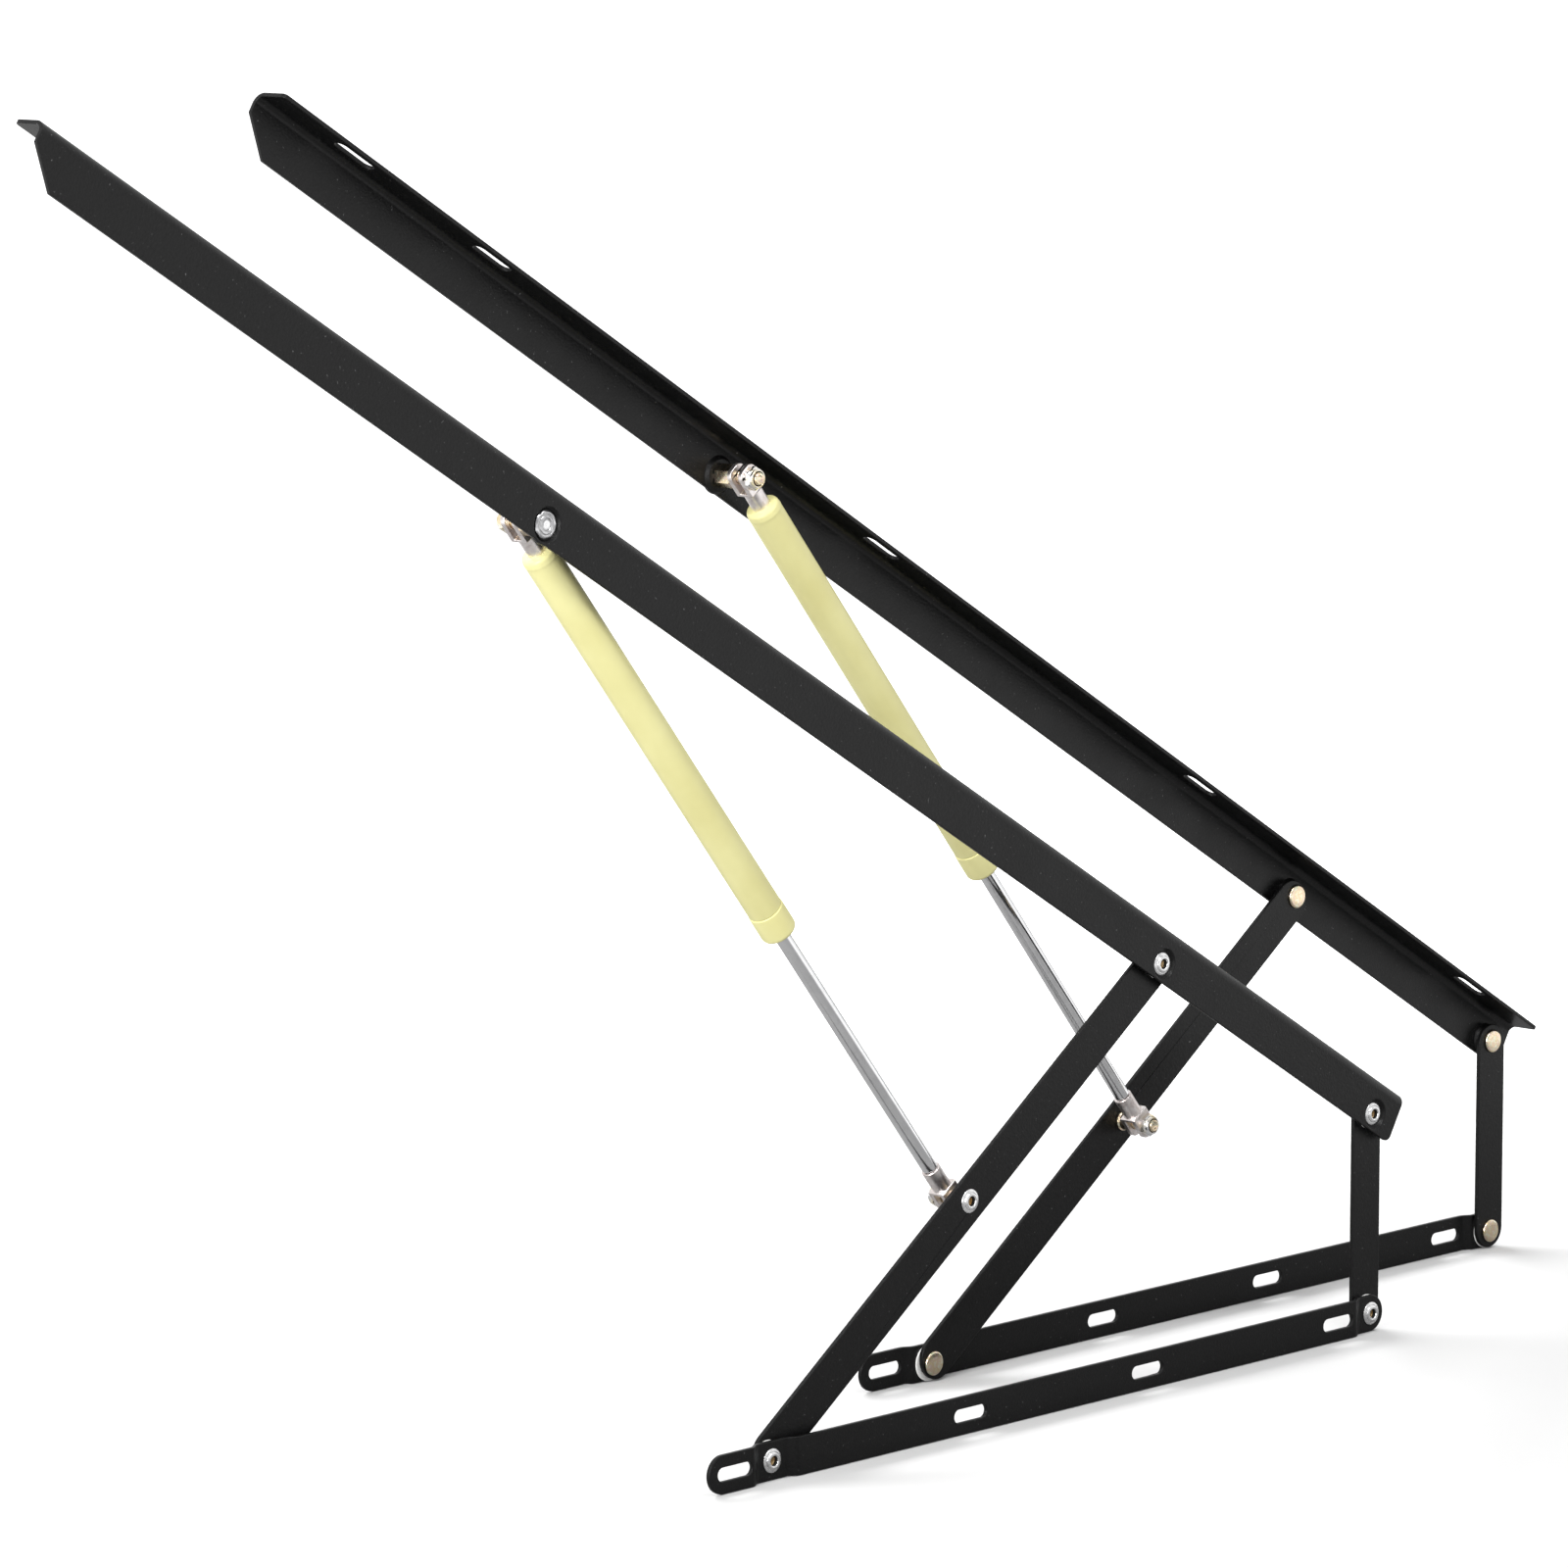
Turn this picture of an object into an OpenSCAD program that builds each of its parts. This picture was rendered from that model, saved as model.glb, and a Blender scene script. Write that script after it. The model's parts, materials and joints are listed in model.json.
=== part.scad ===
// Pair of gas-spring lift units for a storage bed, standing open and staggered.
// Each unit: a base bar for the bed's side panel, a front and a rear link, an angle rail
// that carries the mattress frame, and a gas spring between the front link and the rail.
// In a unit, x runs to the rear from the front base pivot, y runs inwards from the
// mounting plane and z runs up.

/* [Linkage] */
// Distance between the two pivots of the base bar
base_span = 555; // [520:1:600]
// Front link, pivot to pivot
front_link_l = 436; // [415:1:455]
// Rear link, pivot to pivot
rear_link_l = 132; // [125:1:150]
// Lift rail, distance between the pivots of the two links
rail_span = 240; // [225:1:260]
// Slope of the lift rail when the bed is open
open_angle = 31.4; // [27:0.1:35]
// Lift rail, from the front link's pivot to the gas spring's pivot
spring_reach = 619; // [580:1:660]
// Front link, from its base pivot to the gas spring's pivot
spring_foot = 222; // [190:1:245]

/* [Base bar] */
// Width of the base bar
base_w = 24; // [20:0.5:27]
// Thickness of the base bar
base_t = 3; // [2:0.5:4]
// Depth of the inward joggle at the pivots
joggle = 4; // [3.5:0.1:6]
// Length of each joggle's ramp
ramp_l = 9; // [6:0.5:12]
// Flat length from a pivot to the ramp beside it
pivot_flat = 11; // [9:0.5:14]
// Length of the ear in front of the front pivot
ear_l = 57; // [52:1:70]
// Ear slot, distance in front of the front pivot
ear_slot_x = 35; // [34:1:38]
// First middle slot, distance behind the front pivot
middle_slot_x = 170; // [120:1:200]
// Second middle slot, distance behind the front pivot
second_slot_x = 333; // [260:1:380]
// Rear slot, distance in front of the rear pivot
rear_slot_x = 37; // [36:1:60]
// Length of the base bar's slots
base_slot_l = 29; // [20:0.5:30]
// Width of the base bar's slots
base_slot_w = 8.5; // [5:0.1:10]

/* [Links] */
// Width of the front link
front_link_w = 28.5; // [24:0.5:30]
// Width of the rear link
rear_link_w = 26.5; // [24:0.5:30]
// Front link, from a pivot to the tip beyond it
front_link_end = 9; // [8:0.5:12]
// Rear link, from a pivot to the tip beyond it
rear_link_end = 11.5; // [9:0.5:12]
// Thickness of the links
link_t = 3; // [2:0.5:5]

/* [Lift rail] */
// Height of the rail's web
web_h = 33; // [31:0.5:38]
// Width of the rail's flange
flange_w = 25; // [24:0.5:40]
// Thickness of the rail's sheet
rail_t = 2.5; // [1.5:0.1:3]
// Inner radius of the bend between web and flange
bend_r = 4.5; // [2:0.5:5]
// Height of the rail's pivots above the web's lower edge
web_drop = 11; // [10:0.1:12]
// Rail length in front of the front link's pivot
rail_front = 1059; // [960:1:1150]
// Rail length behind the rear link's pivot
rail_tail = 22; // [16:1:40]
// Length of the slant at the web's front end
slant_l = 22; // [5:1:40]
// Height above the pivots where the slant starts
slant_h = 9; // [0:0.5:12]
// Radius of the web's lower rear corner
rear_corner_r = 5; // [1:0.5:8]
// Radius of the flange's free corners
flange_corner_r = 3; // [1:0.5:8]
// Length of the flange's slots
rail_slot_l = 32; // [20:1:40]
// Width of the flange's slots
rail_slot_w = 9; // [5:0.1:11]
// First flange slot, distance from the front end
front_slot_x = 71; // [40:1:90]
// Second flange slot, distance from the front end
next_slot_x = 196; // [150:1:240]
// Flange slot behind the gas spring's pivot, distance from that pivot
spring_slot_x = 138; // [60:1:180]
// Flange slot in front of the front link's pivot, distance from that pivot
link_slot_x = 133; // [60:1:180]
// Rear flange slot, distance from the rear end
rear_slot_end = 72; // [40:1:90]
// Depth of the pressed dimples
dimple_depth = 2.5; // [1:0.1:3]
// Radial room around the fastener in a dimple
dimple_room = 0.7; // [0.3:0.1:0.9]
// Radial run of a dimple's sloping wall
dimple_flare = 1.8; // [1:0.1:1.9]
// Thickness of a dimple's sloping wall, measured along the web
dimple_wall = 1.2; // [0.8:0.1:1.5]

/* [Pivots] */
// Diameter of the rivets' shanks
rivet_d = 8; // [6:0.5:9]
// Diameter of the rivets' inner heads
head_d = 15.7; // [12:0.1:18]
// Thickness of the rivets' inner heads
head_t = 2.2; // [1.5:0.1:3]
// Diameter of the outer washers
washer_d = 15; // [13:0.1:16]
// Thickness of the outer washers
washer_t = 1.2; // [0.8:0.1:1.6]
// Diameter of the flared rivet tails
tail_d = 11; // [9.5:0.1:12]
// Thickness of the flared rivet tails
tail_t = 1.2; // [0.8:0.1:1.6]
// Diameter of the hollow in a rivet tail
tail_bore_d = 5; // [3:0.1:5.5]
// Depth of the hollow in a rivet tail
tail_bore_l = 3.2; // [2:0.1:4]
// Diameter of the plastic spacers between base bar and links
base_spacer_d = 24; // [18:0.5:26]
// Diameter of the plastic spacers between rail and links
rail_spacer_d = 19.5; // [16:0.5:22]
// Thickness of the plastic spacers
spacer_t = 1.5; // [1:0.1:3]

/* [Gas spring] */
// Outer diameter of the tube
tube_d = 22; // [18:0.5:24]
// Wall thickness of the tube
tube_wall = 1.5; // [1:0.1:2.5]
// Length of the tube without its end collar
tube_l = 285; // [240:1:310]
// Thickness of the tube's closed end
tube_end_t = 6; // [4:0.5:10]
// Radius of the tube's closed end
tube_round = 4; // [2:0.5:6]
// Diameter of the end collar
collar_d = 22.8; // [21:0.1:24]
// Length of the end collar
collar_l = 20; // [10:1:30]
// Rounding of the end collar's free edge
collar_round = 1.5; // [0.5:0.5:3]
// Diameter of the piston rod
rod_d = 10; // [9:0.5:10.5]
// Length of the rod guide
guide_l = 18; // [10:1:25]
// Length of the rod seal
seal_l = 6; // [3:0.5:10]
// Length of the piston
piston_l = 12; // [8:1:20]
// Gap between the piston and the rod guide when extended
piston_gap = 3; // [1:0.5:6]
// Diameter of the rod's spigot in the piston
spigot_d = 6; // [4:0.5:7]
// Diameter of the threaded ends that the forks are screwed on
thread_d = 8; // [6:0.5:8.5]
// Length of the threaded ends
thread_l = 10; // [6:0.5:12]

/* [Forks and studs] */
// Height of the fork's block
fork_h = 14; // [13:0.5:18]
// Width of the fork's block across both tines
fork_w = 13; // [12.5:0.5:16]
// Gap between the fork's tines
tine_gap = 6; // [4:0.5:7]
// Length of the fork's block past the pivot
fork_nose = 8; // [7:0.5:9]
// Rounding of the fork's nose
fork_round = 5; // [2:0.5:5.5]
// Length of the fork's block from the pivot to the shank
fork_body = 10; // [9:0.5:12]
// Thickness of the fork's root between the tines and the shank
fork_root = 2; // [1:0.5:2.5]
// Diameter of the fork's shank
shank_d = 12; // [11:0.5:12.5]
// Upper fork, from its pivot to the tube
upper_reach = 33; // [25:0.5:40]
// Lower fork, from its pivot to the rod
lower_reach = 26; // [24:0.5:36]
// Diameter of the gas spring's studs
stud_d = 8; // [6:0.5:8.5]
// Length of the lower stud's collar
stud_collar_l = 8.3; // [6:0.1:14]
// Diameter of the lower stud's collar
stud_collar_d = 13; // [11:0.5:14]
// Width across flats of the upper stud's hexagon
stud_hex = 13; // [11:0.5:14]
// Diameter of the upper stud's riveted head
stud_head_d = 16.5; // [14:0.1:18]
// Thickness of the upper stud's riveted head
stud_head_t = 2; // [1:0.1:2.5]
// Nuts, width across flats
nut_hex = 13; // [11:0.5:14]
// Nuts, thickness
nut_t = 6; // [4:0.5:7]
// Stud length beyond the nut
stud_end = 1.2; // [0.5:0.1:4]

/* [Pair] */
// Distance between the two mounting planes
pair_gap = 126; // [100:1:400]
// How far the left unit stands behind the right one
stagger = 257; // [0:1:400]

/* [Fits] */
// Side play between parts that move on each other
play = 0.1; // [0.05:0.05:0.3]
// Radial clearance of a turning or sliding fit
run_gap = 0.08; // [0.04:0.01:0.1]

/* [Hidden] */
$fn = 48;
CUT = 1;
RAMP_STEPS = 8;
ARC_STEPS = 6;
HEX_POINTS = 2 / sqrt(3);
EDGE = 0.9;
BLACK = "#1f1f20";
ZINC = "#c9c9cc";
YELLOW_ZINC = "#c9b46a";
FORK_ZINC = "#cdbfbb";
TUBE_YELLOW = "#e9e39f";
STEEL = "#b4b6b8";
NYLON = "#f2f2ee";
RUBBER = "#2b2b2b";

// Layers across a unit, from the mounting plane inwards
seat_v = base_t + joggle;
rail_v = seat_v - dimple_depth - rail_t;
floor_v = rail_v + dimple_depth;
link_v = seat_v + spacer_t + play;
link_in_v = link_v + link_t;
fork_v = link_in_v + play + stud_collar_l;
fork_in_v = fork_v + fork_w;
spring_v = fork_v + fork_w / 2;
upper_nut_v = fork_in_v + play;

// Heights
pivot_h = base_w / 2;
web_top = web_h - web_drop;

// Radii
rivet_r = rivet_d / 2;
stud_r = stud_d / 2;
rod_r = rod_d / 2;
tube_r = tube_d / 2;
tube_in_r = tube_r - tube_wall;
thread_r = thread_d / 2;
link_dimple_r = washer_d / 2 + dimple_room;
spring_dimple_r = stud_head_d / 2 + dimple_room;

// Places in the plane of the linkage, as [x, z] from the front base pivot
function along(p, d, a) = p + d * [cos(a), sin(a)];
front_pivot = [0, 0];
rear_pivot = [base_span, 0];
loop_gap = [base_span - rail_span * cos(open_angle), rail_span * sin(open_angle)];
loop_d = norm(loop_gap);
loop_cos = (front_link_l ^ 2 + loop_d ^ 2 - rear_link_l ^ 2) / (2 * front_link_l * loop_d);
front_angle = atan2(loop_gap.y, loop_gap.x) + acos(loop_cos);
rail_pivot = along(front_pivot, front_link_l, front_angle);
rail_rear_pivot = along(rail_pivot, rail_span, -open_angle);
rear_angle = atan2(rail_rear_pivot.y - rear_pivot.y, rail_rear_pivot.x - rear_pivot.x);
spring_top = along(rail_pivot, -spring_reach, -open_angle);
spring_base = along(front_pivot, spring_foot, front_angle);
spring_len = norm(spring_base - spring_top);
spring_angle = atan2(spring_base.y - spring_top.y, spring_base.x - spring_top.x);

// Stations along the gas spring from its upper pivot
tube_open_s = upper_reach + tube_l;
guide_s = tube_open_s - seal_l - guide_l;
piston_s = guide_s - piston_gap - piston_l;
rod_end_s = spring_len - lower_reach;

// Place of the pair: its middle is at x = 0
rail_back = rail_span + rail_tail;
unit_lo = rail_pivot.x - rail_front * cos(open_angle) + slant_h * sin(open_angle);
unit_hi = rail_pivot.x + rail_back * cos(open_angle) + web_top * sin(open_angle);
unit_x = -(unit_lo + unit_hi + stagger) / 2;

PIECES = [
    "base_bar", "base_rivets", "base_washers", "base_spacers", "front_link", "rear_link",
    "lift_rail", "rail_spacers", "rail_washers", "rear_rail_rivet", "front_rail_rivet_head",
    "front_rail_rivet_tail", "upper_stud", "upper_nut", "lower_stud", "lower_stud_tail",
    "lower_stud_washer", "lower_nut", "upper_fork", "lower_fork", "gas_tube", "end_collar",
    "rod_guide", "rod_seal", "piston", "piston_rod"
];

// Flat shape in the plane of the linkage, given thickness from one layer inwards
module plate(v, t) {
    translate([0, v + t, 0]) rotate([90, 0, 0]) linear_extrude(t) children();
}

// Turned shape across the unit at a place: its outline is [radius, layer] points
module turned(p, outline) {
    translate([p.x, 0, p.y]) rotate([-90, 0, 0]) rotate_extrude() polygon(outline);
}

// Round bar across the unit at a place
module cross_pin(p, v, l, r) {
    translate([p.x, v, p.y]) rotate([-90, 0, 0]) cylinder(h = l, r = r);
}

// Hexagon across the unit at a place, given its width across flats
module cross_hex(p, v, l, flats) {
    translate([p.x, v, p.y]) rotate([-90, 0, 0]) cylinder(h = l, d = flats * HEX_POINTS, $fn = 6);
}

// Turned shape along the gas spring: its outline is [radius, station] points
module spring_turned(outline) {
    on_spring() rotate([0, 90, 0]) rotate_extrude() polygon(outline);
}

// Frame of the gas spring: x runs from the upper pivot to the lower one
module on_spring() {
    translate([spring_top.x, spring_v, spring_top.y]) rotate([0, -spring_angle, 0]) children();
}

// Frame of the lift rail: x runs along it to the rear from the front link's pivot
module on_rail() {
    translate([rail_pivot.x, 0, rail_pivot.y]) rotate([0, open_angle, 0]) children();
}

module slot_shape(l, w) {
    square([l - w, w], center = true);
    for (end = [-1, 1]) translate([end * (l - w) / 2, 0]) circle(d = w);
}

module ring(p, v, t, outer_d, inner_r) {
    difference() {
        cross_pin(p, v, t, outer_d / 2);
        cross_pin(p, v - CUT, t + 2 * CUT, inner_r);
    }
}

// Base bar

// One joggle ramp as [x, layer] points along a smooth step
function ramp(x, v_from, v_to) = [
    for (i = [0:RAMP_STEPS])
        [x + ramp_l * i / RAMP_STEPS, v_from + (v_to - v_from) * (1 - cos(180 * i / RAMP_STEPS)) / 2]
];
bar_path = concat(
    [[-ear_l, 0]],
    ramp(-pivot_flat - ramp_l, 0, joggle),
    ramp(pivot_flat, joggle, 0),
    ramp(base_span - pivot_flat - ramp_l, 0, joggle),
    [[base_span + base_w / 2, joggle]]
);
bar_back = [for (i = [len(bar_path) - 1:-1:0]) bar_path[i] + [0, base_t]];
base_slots = [-ear_slot_x, middle_slot_x, second_slot_x, base_span - rear_slot_x];

module bar_outline() {
    bar_l = ear_l + base_span + base_w / 2;
    translate([(base_span + base_w / 2 - ear_l) / 2, 0]) slot_shape(bar_l, base_w);
}

module base_bar() {
    color(BLACK) difference() {
        intersection() {
            translate([0, 0, -pivot_h]) linear_extrude(base_w) polygon(concat(bar_path, bar_back));
            plate(-CUT, seat_v + 2 * CUT) bar_outline();
        }
        plate(-CUT, seat_v + 2 * CUT) {
            for (x = base_slots) translate([x, 0]) slot_shape(base_slot_l, base_slot_w);
            for (p = [front_pivot, rear_pivot]) translate(p) circle(r = rivet_r + run_gap);
        }
    }
}

// Rivets, washers and spacers

// Hollow rivet tail, from the outer end of the flare to a layer further in
function tail_outline(seat, inner) = let (v = seat - washer_t - tail_t) [
    [tail_bore_d / 2, v], [tail_d / 2 - tail_t / 2, v], [tail_d / 2, v + tail_t / 2],
    [tail_d / 2, v + tail_t], [rivet_r, v + tail_t], [rivet_r, inner]
];
// Hollow of a rivet tail, back to the start of its outline
function hollow_outline(seat) = let (v = seat - washer_t - tail_t + tail_bore_l) [
    [0, v], [tail_bore_d / 2, v]
];
// Low domed head that sits on a layer
function head_outline(v) = [
    [head_d / 2, v], [head_d / 2, v + head_t - EDGE * 1.4], [head_d / 2 - EDGE, v + head_t - EDGE / 3],
    [head_d / 4, v + head_t], [0, v + head_t]
];

module rivet(p, seat) {
    head_v = link_in_v + play;
    turned(p, concat(tail_outline(seat, head_v), head_outline(head_v), hollow_outline(seat)));
}

module base_rivets() {
    color(YELLOW_ZINC) for (p = [front_pivot, rear_pivot]) rivet(p, joggle);
}

module base_washers() {
    color(ZINC) for (p = [front_pivot, rear_pivot])
        ring(p, joggle - washer_t, washer_t, washer_d, rivet_r + run_gap);
}

module base_spacers() {
    color(NYLON) for (p = [front_pivot, rear_pivot])
        ring(p, seat_v, spacer_t, base_spacer_d, rivet_r + run_gap);
}

module rail_spacers() {
    color(NYLON) for (p = [rail_pivot, rail_rear_pivot])
        ring(p, seat_v, spacer_t, rail_spacer_d, rivet_r + run_gap);
}

module rail_washers() {
    color(ZINC) for (p = [rail_pivot, rail_rear_pivot])
        ring(p, floor_v - washer_t, washer_t, washer_d, rivet_r + run_gap);
}

module rear_rail_rivet() {
    color(YELLOW_ZINC) rivet(rail_rear_pivot, floor_v);
}

// The front rail rivet is split where the link meets the spacer
module front_rail_rivet_head() {
    color(YELLOW_ZINC)
        turned(rail_pivot, concat([[0, link_v], [rivet_r, link_v], [rivet_r, link_in_v]], head_outline(link_in_v)));
}

module front_rail_rivet_tail() {
    stub_v = seat_v + spacer_t;
    color(YELLOW_ZINC)
        turned(rail_pivot, concat(tail_outline(floor_v, stub_v), [[0, stub_v]], hollow_outline(floor_v)));
}

// Links

module link_shape(l, w, tip, hole_at, hole_r) {
    difference() {
        translate([l / 2, 0]) slot_shape(l + 2 * tip, w);
        for (x = hole_at) translate([x, 0]) circle(r = hole_r);
    }
}

module front_link() {
    color(BLACK) plate(link_v, link_t) rotate(front_angle)
        link_shape(front_link_l, front_link_w, front_link_end, [0, spring_foot, front_link_l], rivet_r + run_gap);
}

module rear_link() {
    color(BLACK) plate(link_v, link_t) translate(rear_pivot) rotate(rear_angle)
        link_shape(rear_link_l, rear_link_w, rear_link_end, [0, rear_link_l], rivet_r + run_gap);
}

// Lift rail

// Corner of the angle section: full outside of the bend, or the hollow within it
module bend_block(v, low, top, r) {
    translate([v, low]) square([flange_w, top - r - low]);
    translate([v + r, low]) square([flange_w - r, top - low]);
    translate([v + r, top - r]) circle(r = r);
}

module rail_section() {
    difference() {
        bend_block(rail_v, -web_drop, web_top, bend_r + rail_t);
        bend_block(rail_v + rail_t, -web_drop - CUT, web_top - rail_t, bend_r);
    }
}

// Side view of what is cut off the web's front end
module front_slant() {
    over = CUT * slant_l / (slant_h + web_drop);
    polygon([
        [-rail_front - CUT, slant_h], [-rail_front, slant_h],
        [-rail_front + slant_l + over, -web_drop - CUT], [-rail_front - CUT, -web_drop - CUT]
    ]);
}

// Side view of what is cut off the web's lower rear corner
module rear_corner() {
    translate([rail_back - rear_corner_r, -web_drop]) difference() {
        translate([0, -CUT]) square([rear_corner_r + CUT, rear_corner_r + CUT]);
        translate([0, rear_corner_r]) circle(r = rear_corner_r);
    }
}

// Plan view of a free flange corner, as the piece that is cut away
module flange_corner() {
    difference() {
        translate([-CUT, 0]) square([flange_corner_r + CUT, flange_corner_r + CUT]);
        translate([flange_corner_r, 0]) circle(r = flange_corner_r);
    }
}

// Pressed dimple around a hole: [radius, layer] outline of its floor and sloping wall
function dimple_outline(r, hole_r) = [
    [hole_r, floor_v], [r, floor_v], [r + dimple_flare, rail_v],
    [r + dimple_flare + dimple_wall, rail_v], [r + dimple_flare + dimple_wall, rail_v + rail_t],
    [r + dimple_wall, seat_v], [hole_r, seat_v]
];
link_dimples = [0, rail_span];
rail_slots = [
    front_slot_x - rail_front, next_slot_x - rail_front, spring_slot_x - spring_reach, -link_slot_x,
    rail_back - rear_slot_end
];

module rail_blank() {
    translate([-rail_front, 0, 0]) rotate([90, 0, 90]) linear_extrude(rail_front + rail_back) rail_section();
}

// Round opening in the web that a dimple fills
module dimple_seat(x, r) {
    cross_pin([x, 0], rail_v - CUT, rail_t + 2 * CUT, r + dimple_flare + dimple_wall / 2);
}

// A link's dimple ends level with the web's lower edge
module link_dimple(x) {
    intersection() {
        turned([x, 0], dimple_outline(link_dimple_r, rivet_r + run_gap));
        translate([x - web_h, rail_v - CUT, -web_drop]) cube([2 * web_h, 2 * web_h, 2 * web_h]);
    }
}

module rail_with_dimples() {
    difference() {
        rail_blank();
        for (x = link_dimples) dimple_seat(x, link_dimple_r);
        dimple_seat(-spring_reach, spring_dimple_r);
    }
    for (x = link_dimples) link_dimple(x);
    turned([-spring_reach, 0], dimple_outline(spring_dimple_r, stud_r + run_gap));
}

module lift_rail() {
    flange_edge = rail_v + flange_w;
    slot_v = (rail_v + rail_t + bend_r + flange_edge) / 2;
    color(BLACK) on_rail() difference() {
        rail_with_dimples();
        plate(rail_v - CUT, rail_t + 2 * CUT) {
            front_slant();
            rear_corner();
        }
        translate([0, 0, web_top - rail_t - CUT]) linear_extrude(rail_t + 2 * CUT) {
            for (x = rail_slots) translate([x, slot_v]) slot_shape(rail_slot_l, rail_slot_w);
            translate([-rail_front, flange_edge - flange_corner_r]) flange_corner();
            translate([rail_back, flange_edge - flange_corner_r]) mirror([1, 0]) flange_corner();
        }
    }
}

// Studs and nuts of the gas spring

function stud_tip(v) = [[stud_r, v], [stud_r - EDGE, v + EDGE], [0, v + EDGE]];

module upper_stud() {
    head_v = floor_v - stud_head_t;
    tip_v = upper_nut_v + nut_t + stud_end - EDGE;
    outline = concat(
        [[0, head_v], [stud_head_d / 2 - EDGE, head_v], [stud_head_d / 2, head_v + EDGE]],
        [[stud_head_d / 2, floor_v], [stud_r, floor_v]],
        stud_tip(tip_v)
    );
    color(YELLOW_ZINC) {
        turned(spring_top, outline);
        cross_hex(spring_top, seat_v, fork_v - play - seat_v, stud_hex);
    }
}

module lower_stud() {
    collar_v = link_in_v + play;
    tip_v = fork_in_v + nut_t + stud_end - EDGE;
    outline = concat(
        [[0, collar_v], [stud_collar_d / 2, collar_v], [stud_collar_d / 2, fork_v], [stud_r, fork_v]],
        stud_tip(tip_v)
    );
    color(YELLOW_ZINC) turned(spring_base, outline);
}

// The lower stud is split where the link's inner face meets the stud's collar
module lower_stud_tail() {
    color(YELLOW_ZINC)
        turned(spring_base, concat(tail_outline(link_v, link_in_v), [[0, link_in_v]], hollow_outline(link_v)));
}

module lower_stud_washer() {
    color(ZINC) ring(spring_base, link_v - washer_t, washer_t, washer_d, rivet_r + run_gap);
}

// Hexagon nut with its outer corners turned down
module nut(p, v) {
    corner_r = nut_hex * HEX_POINTS / 2;
    difference() {
        intersection() {
            cross_hex(p, v, nut_t, nut_hex);
            turned(p, [[0, v], [corner_r, v], [corner_r, v + nut_t - EDGE], [corner_r - EDGE * 1.7, v + nut_t], [0, v + nut_t]]);
        }
        cross_pin(p, v - CUT, nut_t + 2 * CUT, stud_r + run_gap);
    }
}

module upper_nut() {
    color(YELLOW_ZINC) nut(spring_top, upper_nut_v);
}

module lower_nut() {
    color(YELLOW_ZINC) nut(spring_base, fork_in_v);
}

// Gas spring

// Fork around its own pivot, with its shank along x
module fork(reach) {
    difference() {
        union() {
            plate(-fork_w / 2, fork_w) {
                translate([fork_round - fork_nose, -fork_h / 2])
                    square([fork_nose + fork_body - fork_round, fork_h]);
                translate([-fork_nose, fork_round - fork_h / 2])
                    square([fork_nose, fork_h - 2 * fork_round]);
                for (side = [-1, 1])
                    translate([fork_round - fork_nose, side * (fork_h / 2 - fork_round)]) circle(r = fork_round);
            }
            rotate([0, 90, 0]) cylinder(h = reach, d = shank_d);
        }
        translate([-fork_nose - CUT, -tine_gap / 2, -fork_h])
            cube([fork_nose + CUT + fork_body - fork_root, tine_gap, 2 * fork_h]);
        cross_pin([0, 0], -fork_w, 2 * fork_w, stud_r + run_gap);
        translate([reach - thread_l - play, 0, 0]) rotate([0, 90, 0])
            cylinder(h = thread_l + CUT, r = thread_r + run_gap);
    }
}

module upper_fork() {
    color(FORK_ZINC) on_spring() fork(upper_reach);
}

module lower_fork() {
    color(FORK_ZINC) on_spring() translate([spring_len, 0, 0]) rotate([0, 180, 0]) fork(lower_reach);
}

// Closed end of the tube as an arc of [radius, station] points
function tube_shoulder() = [
    for (i = [0:ARC_STEPS]) let (a = 90 * i / ARC_STEPS)
        [tube_r - tube_round * (1 - sin(a)), upper_reach + tube_round * (1 - cos(a))]
];

module gas_tube() {
    outline = concat(
        [[0, upper_reach - thread_l], [thread_r, upper_reach - thread_l], [thread_r, upper_reach]],
        tube_shoulder(),
        [[tube_r, tube_open_s], [tube_in_r, tube_open_s]],
        [[tube_in_r, upper_reach + tube_end_t], [0, upper_reach + tube_end_t]]
    );
    color(TUBE_YELLOW) spring_turned(outline);
}

module end_collar() {
    bore_r = rod_r + 4 * run_gap;
    end_s = tube_open_s + collar_l;
    color(TUBE_YELLOW) spring_turned([
        [bore_r, tube_open_s], [collar_d / 2, tube_open_s], [collar_d / 2, end_s - collar_round],
        [collar_d / 2 - collar_round, end_s], [bore_r, end_s]
    ]);
}

// Sleeve around the rod inside the tube
module rod_sleeve(s, l) {
    inner_r = rod_r + run_gap;
    outer_r = tube_in_r - run_gap;
    spring_turned([[inner_r, s], [outer_r, s], [outer_r, s + l], [inner_r, s + l]]);
}

module rod_guide() {
    color(STEEL) rod_sleeve(guide_s, guide_l);
}

module rod_seal() {
    color(RUBBER) rod_sleeve(guide_s + guide_l, seal_l);
}

module piston() {
    inner_r = spigot_d / 2 + run_gap;
    outer_r = tube_in_r - run_gap;
    end_s = piston_s + piston_l;
    color(STEEL) spring_turned([[inner_r, piston_s], [outer_r, piston_s], [outer_r, end_s], [inner_r, end_s]]);
}

module piston_rod() {
    shoulder_s = piston_s + piston_l;
    thread_s = rod_end_s + thread_l;
    color(STEEL) spring_turned([
        [0, piston_s], [spigot_d / 2, piston_s], [spigot_d / 2, shoulder_s], [rod_r, shoulder_s],
        [rod_r, rod_end_s], [thread_r, rod_end_s], [thread_r, thread_s], [0, thread_s]
    ]);
}

// The pair: the right unit in front, its mirror image behind it on the left

module right() {
    translate([unit_x, -pair_gap / 2, pivot_h]) children();
}

module left() {
    translate([unit_x + stagger, pair_gap / 2, pivot_h]) mirror([0, 1, 0]) children();
}

module pair(piece) {
    right() children();
    left() children();
}

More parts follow.
